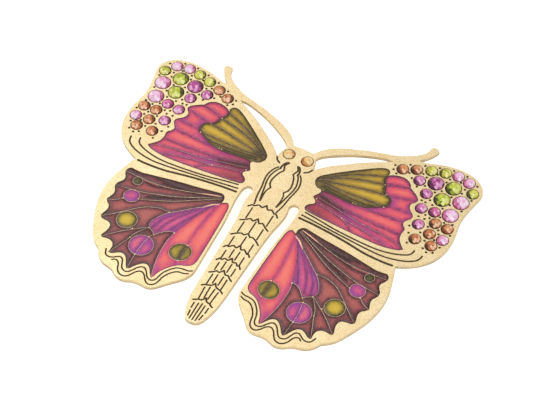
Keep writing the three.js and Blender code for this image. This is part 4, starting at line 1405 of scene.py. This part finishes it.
def make_finding(material):
    pieces = [
        ("bar_and_ears", finding_bar(), "root", "pin_bar"),
        ("rivet", finding_rivet(), "root", "hinge_rivet"),
        ("stem", finding_stem(), "stem", "pin_stem"),
        ("catch_barrel", finding_housing(), "root", "catch_housing"),
        ("turning_sleeve", finding_sleeve(), "sleeve", "catch_sleeve"),
    ]
    for name, solid, body, node in pieces:
        make_piece(name, solid, [material], body, [node], rounded=True)


# ---------------------------------------------------------------- stage, light and camera

TARGET = Vector((0.000089, 0.00205, 0.0054))
ELEVATION = 53.24
AZIMUTH = 29.38
ROLL = -1.76
DISTANCE = 0.425
FOCAL_PIXELS = 2500
FRAME_WIDTH = 539
SENSOR_WIDTH = 36.0
FLOOR_HALF = 1.5
FLOOR_GLOW = 0.8
WORLD_STRENGTH = 0.7
# Name, place, size and power
LIGHTS = [
    ("key", (-0.28, 0.1, 0.5), 0.35, 0.8),
    ("fill", (0.35, -0.3, 0.4), 0.3, 0.25),
]


def make_camera():
    data = bpy.data.cameras.new("camera")
    data.sensor_width = SENSOR_WIDTH
    data.lens = FOCAL_PIXELS * SENSOR_WIDTH / FRAME_WIDTH
    data.clip_start = 0.01
    data.clip_end = 10
    elevation, azimuth, roll = (math.radians(angle) for angle in (ELEVATION, AZIMUTH, ROLL))
    back = Vector((math.sin(azimuth) * math.cos(elevation), -math.cos(azimuth) * math.cos(elevation),
                   math.sin(elevation)))
    right = (-back).cross(Vector((0, 0, 1))).normalized()
    up = back.cross(right)
    x_axis = math.cos(roll) * right + math.sin(roll) * up
    y_axis = math.cos(roll) * up - math.sin(roll) * right
    place = TARGET + back * DISTANCE
    camera = show("camera", data)
    camera.matrix_world = Matrix((
        (x_axis.x, y_axis.x, back.x, place.x),
        (x_axis.y, y_axis.y, back.y, place.y),
        (x_axis.z, y_axis.z, back.z, place.z),
        (0, 0, 0, 1),
    ))
    bpy.context.scene.camera = camera


def make_light(name, place, size, power):
    """A square soft box at that place, turned towards the brooch."""
    data = bpy.data.lights.new(name, "AREA")
    data.size = size
    data.energy = power
    light = show(name, data)
    light.location = place
    light.rotation_mode = "QUATERNION"
    light.rotation_quaternion = (TARGET - Vector(place)).to_track_quat("-Z", "Y")


def make_stage():
    mesh = bpy.data.meshes.new("floor")
    corners = [(x * FLOOR_HALF, y * FLOOR_HALF, 0) for x, y in ((-1, -1), (1, -1), (1, 1), (-1, 1))]
    mesh.from_pydata(corners, [], [(0, 1, 2, 3)])
    shader = Shader("light_table", Roughness=0.8)
    paper = shader.noise(shader.place(), 400, 3.0, 0.5)
    white = shader.ramp(paper, [(0.2, srgb(176, 176, 176)), (0.8, srgb(182, 182, 182))])
    shader.finish(Base_Color=white, Emission_Color=(1, 1, 1, 1), Emission_Strength=FLOOR_GLOW)
    mesh.materials.append(shader.material)
    floor = show("floor", mesh)


def make_world():
    world = bpy.data.worlds.new("studio")
    world.use_nodes = True
    background = world.node_tree.nodes["Background"]
    background.inputs["Color"].default_value = (1, 1, 1, 1)
    background.inputs["Strength"].default_value = WORLD_STRENGTH
    bpy.context.scene.world = world
    bpy.context.scene.view_settings.view_transform = "Standard"


make_camera()
make_plate(plate_brass())
make_windows(
    {name: enamel(name) for name in ENAMELS},
    [
        vein_metal("vein_pale", (246, 214, 182), (200, 160, 130)),
        vein_metal("vein_violet", (226, 150, 176), (180, 96, 140)),
        vein_metal("vein_dark", (132, 104, 76), (66, 48, 40)),
        vein_metal("bead_gold", (255, 240, 196), (240, 206, 140)),
        # salmon metal that paints warm highlights on the bars
        vein_metal("bar_painted_highlight", (255, 204, 172), (246, 176, 146)),
    ],
)
make_crystals({name: crystal(name) for name in CRYSTALS})
make_finding(finding_brass())
make_stage()
make_world()
for light in LIGHTS:
    make_light(*light)
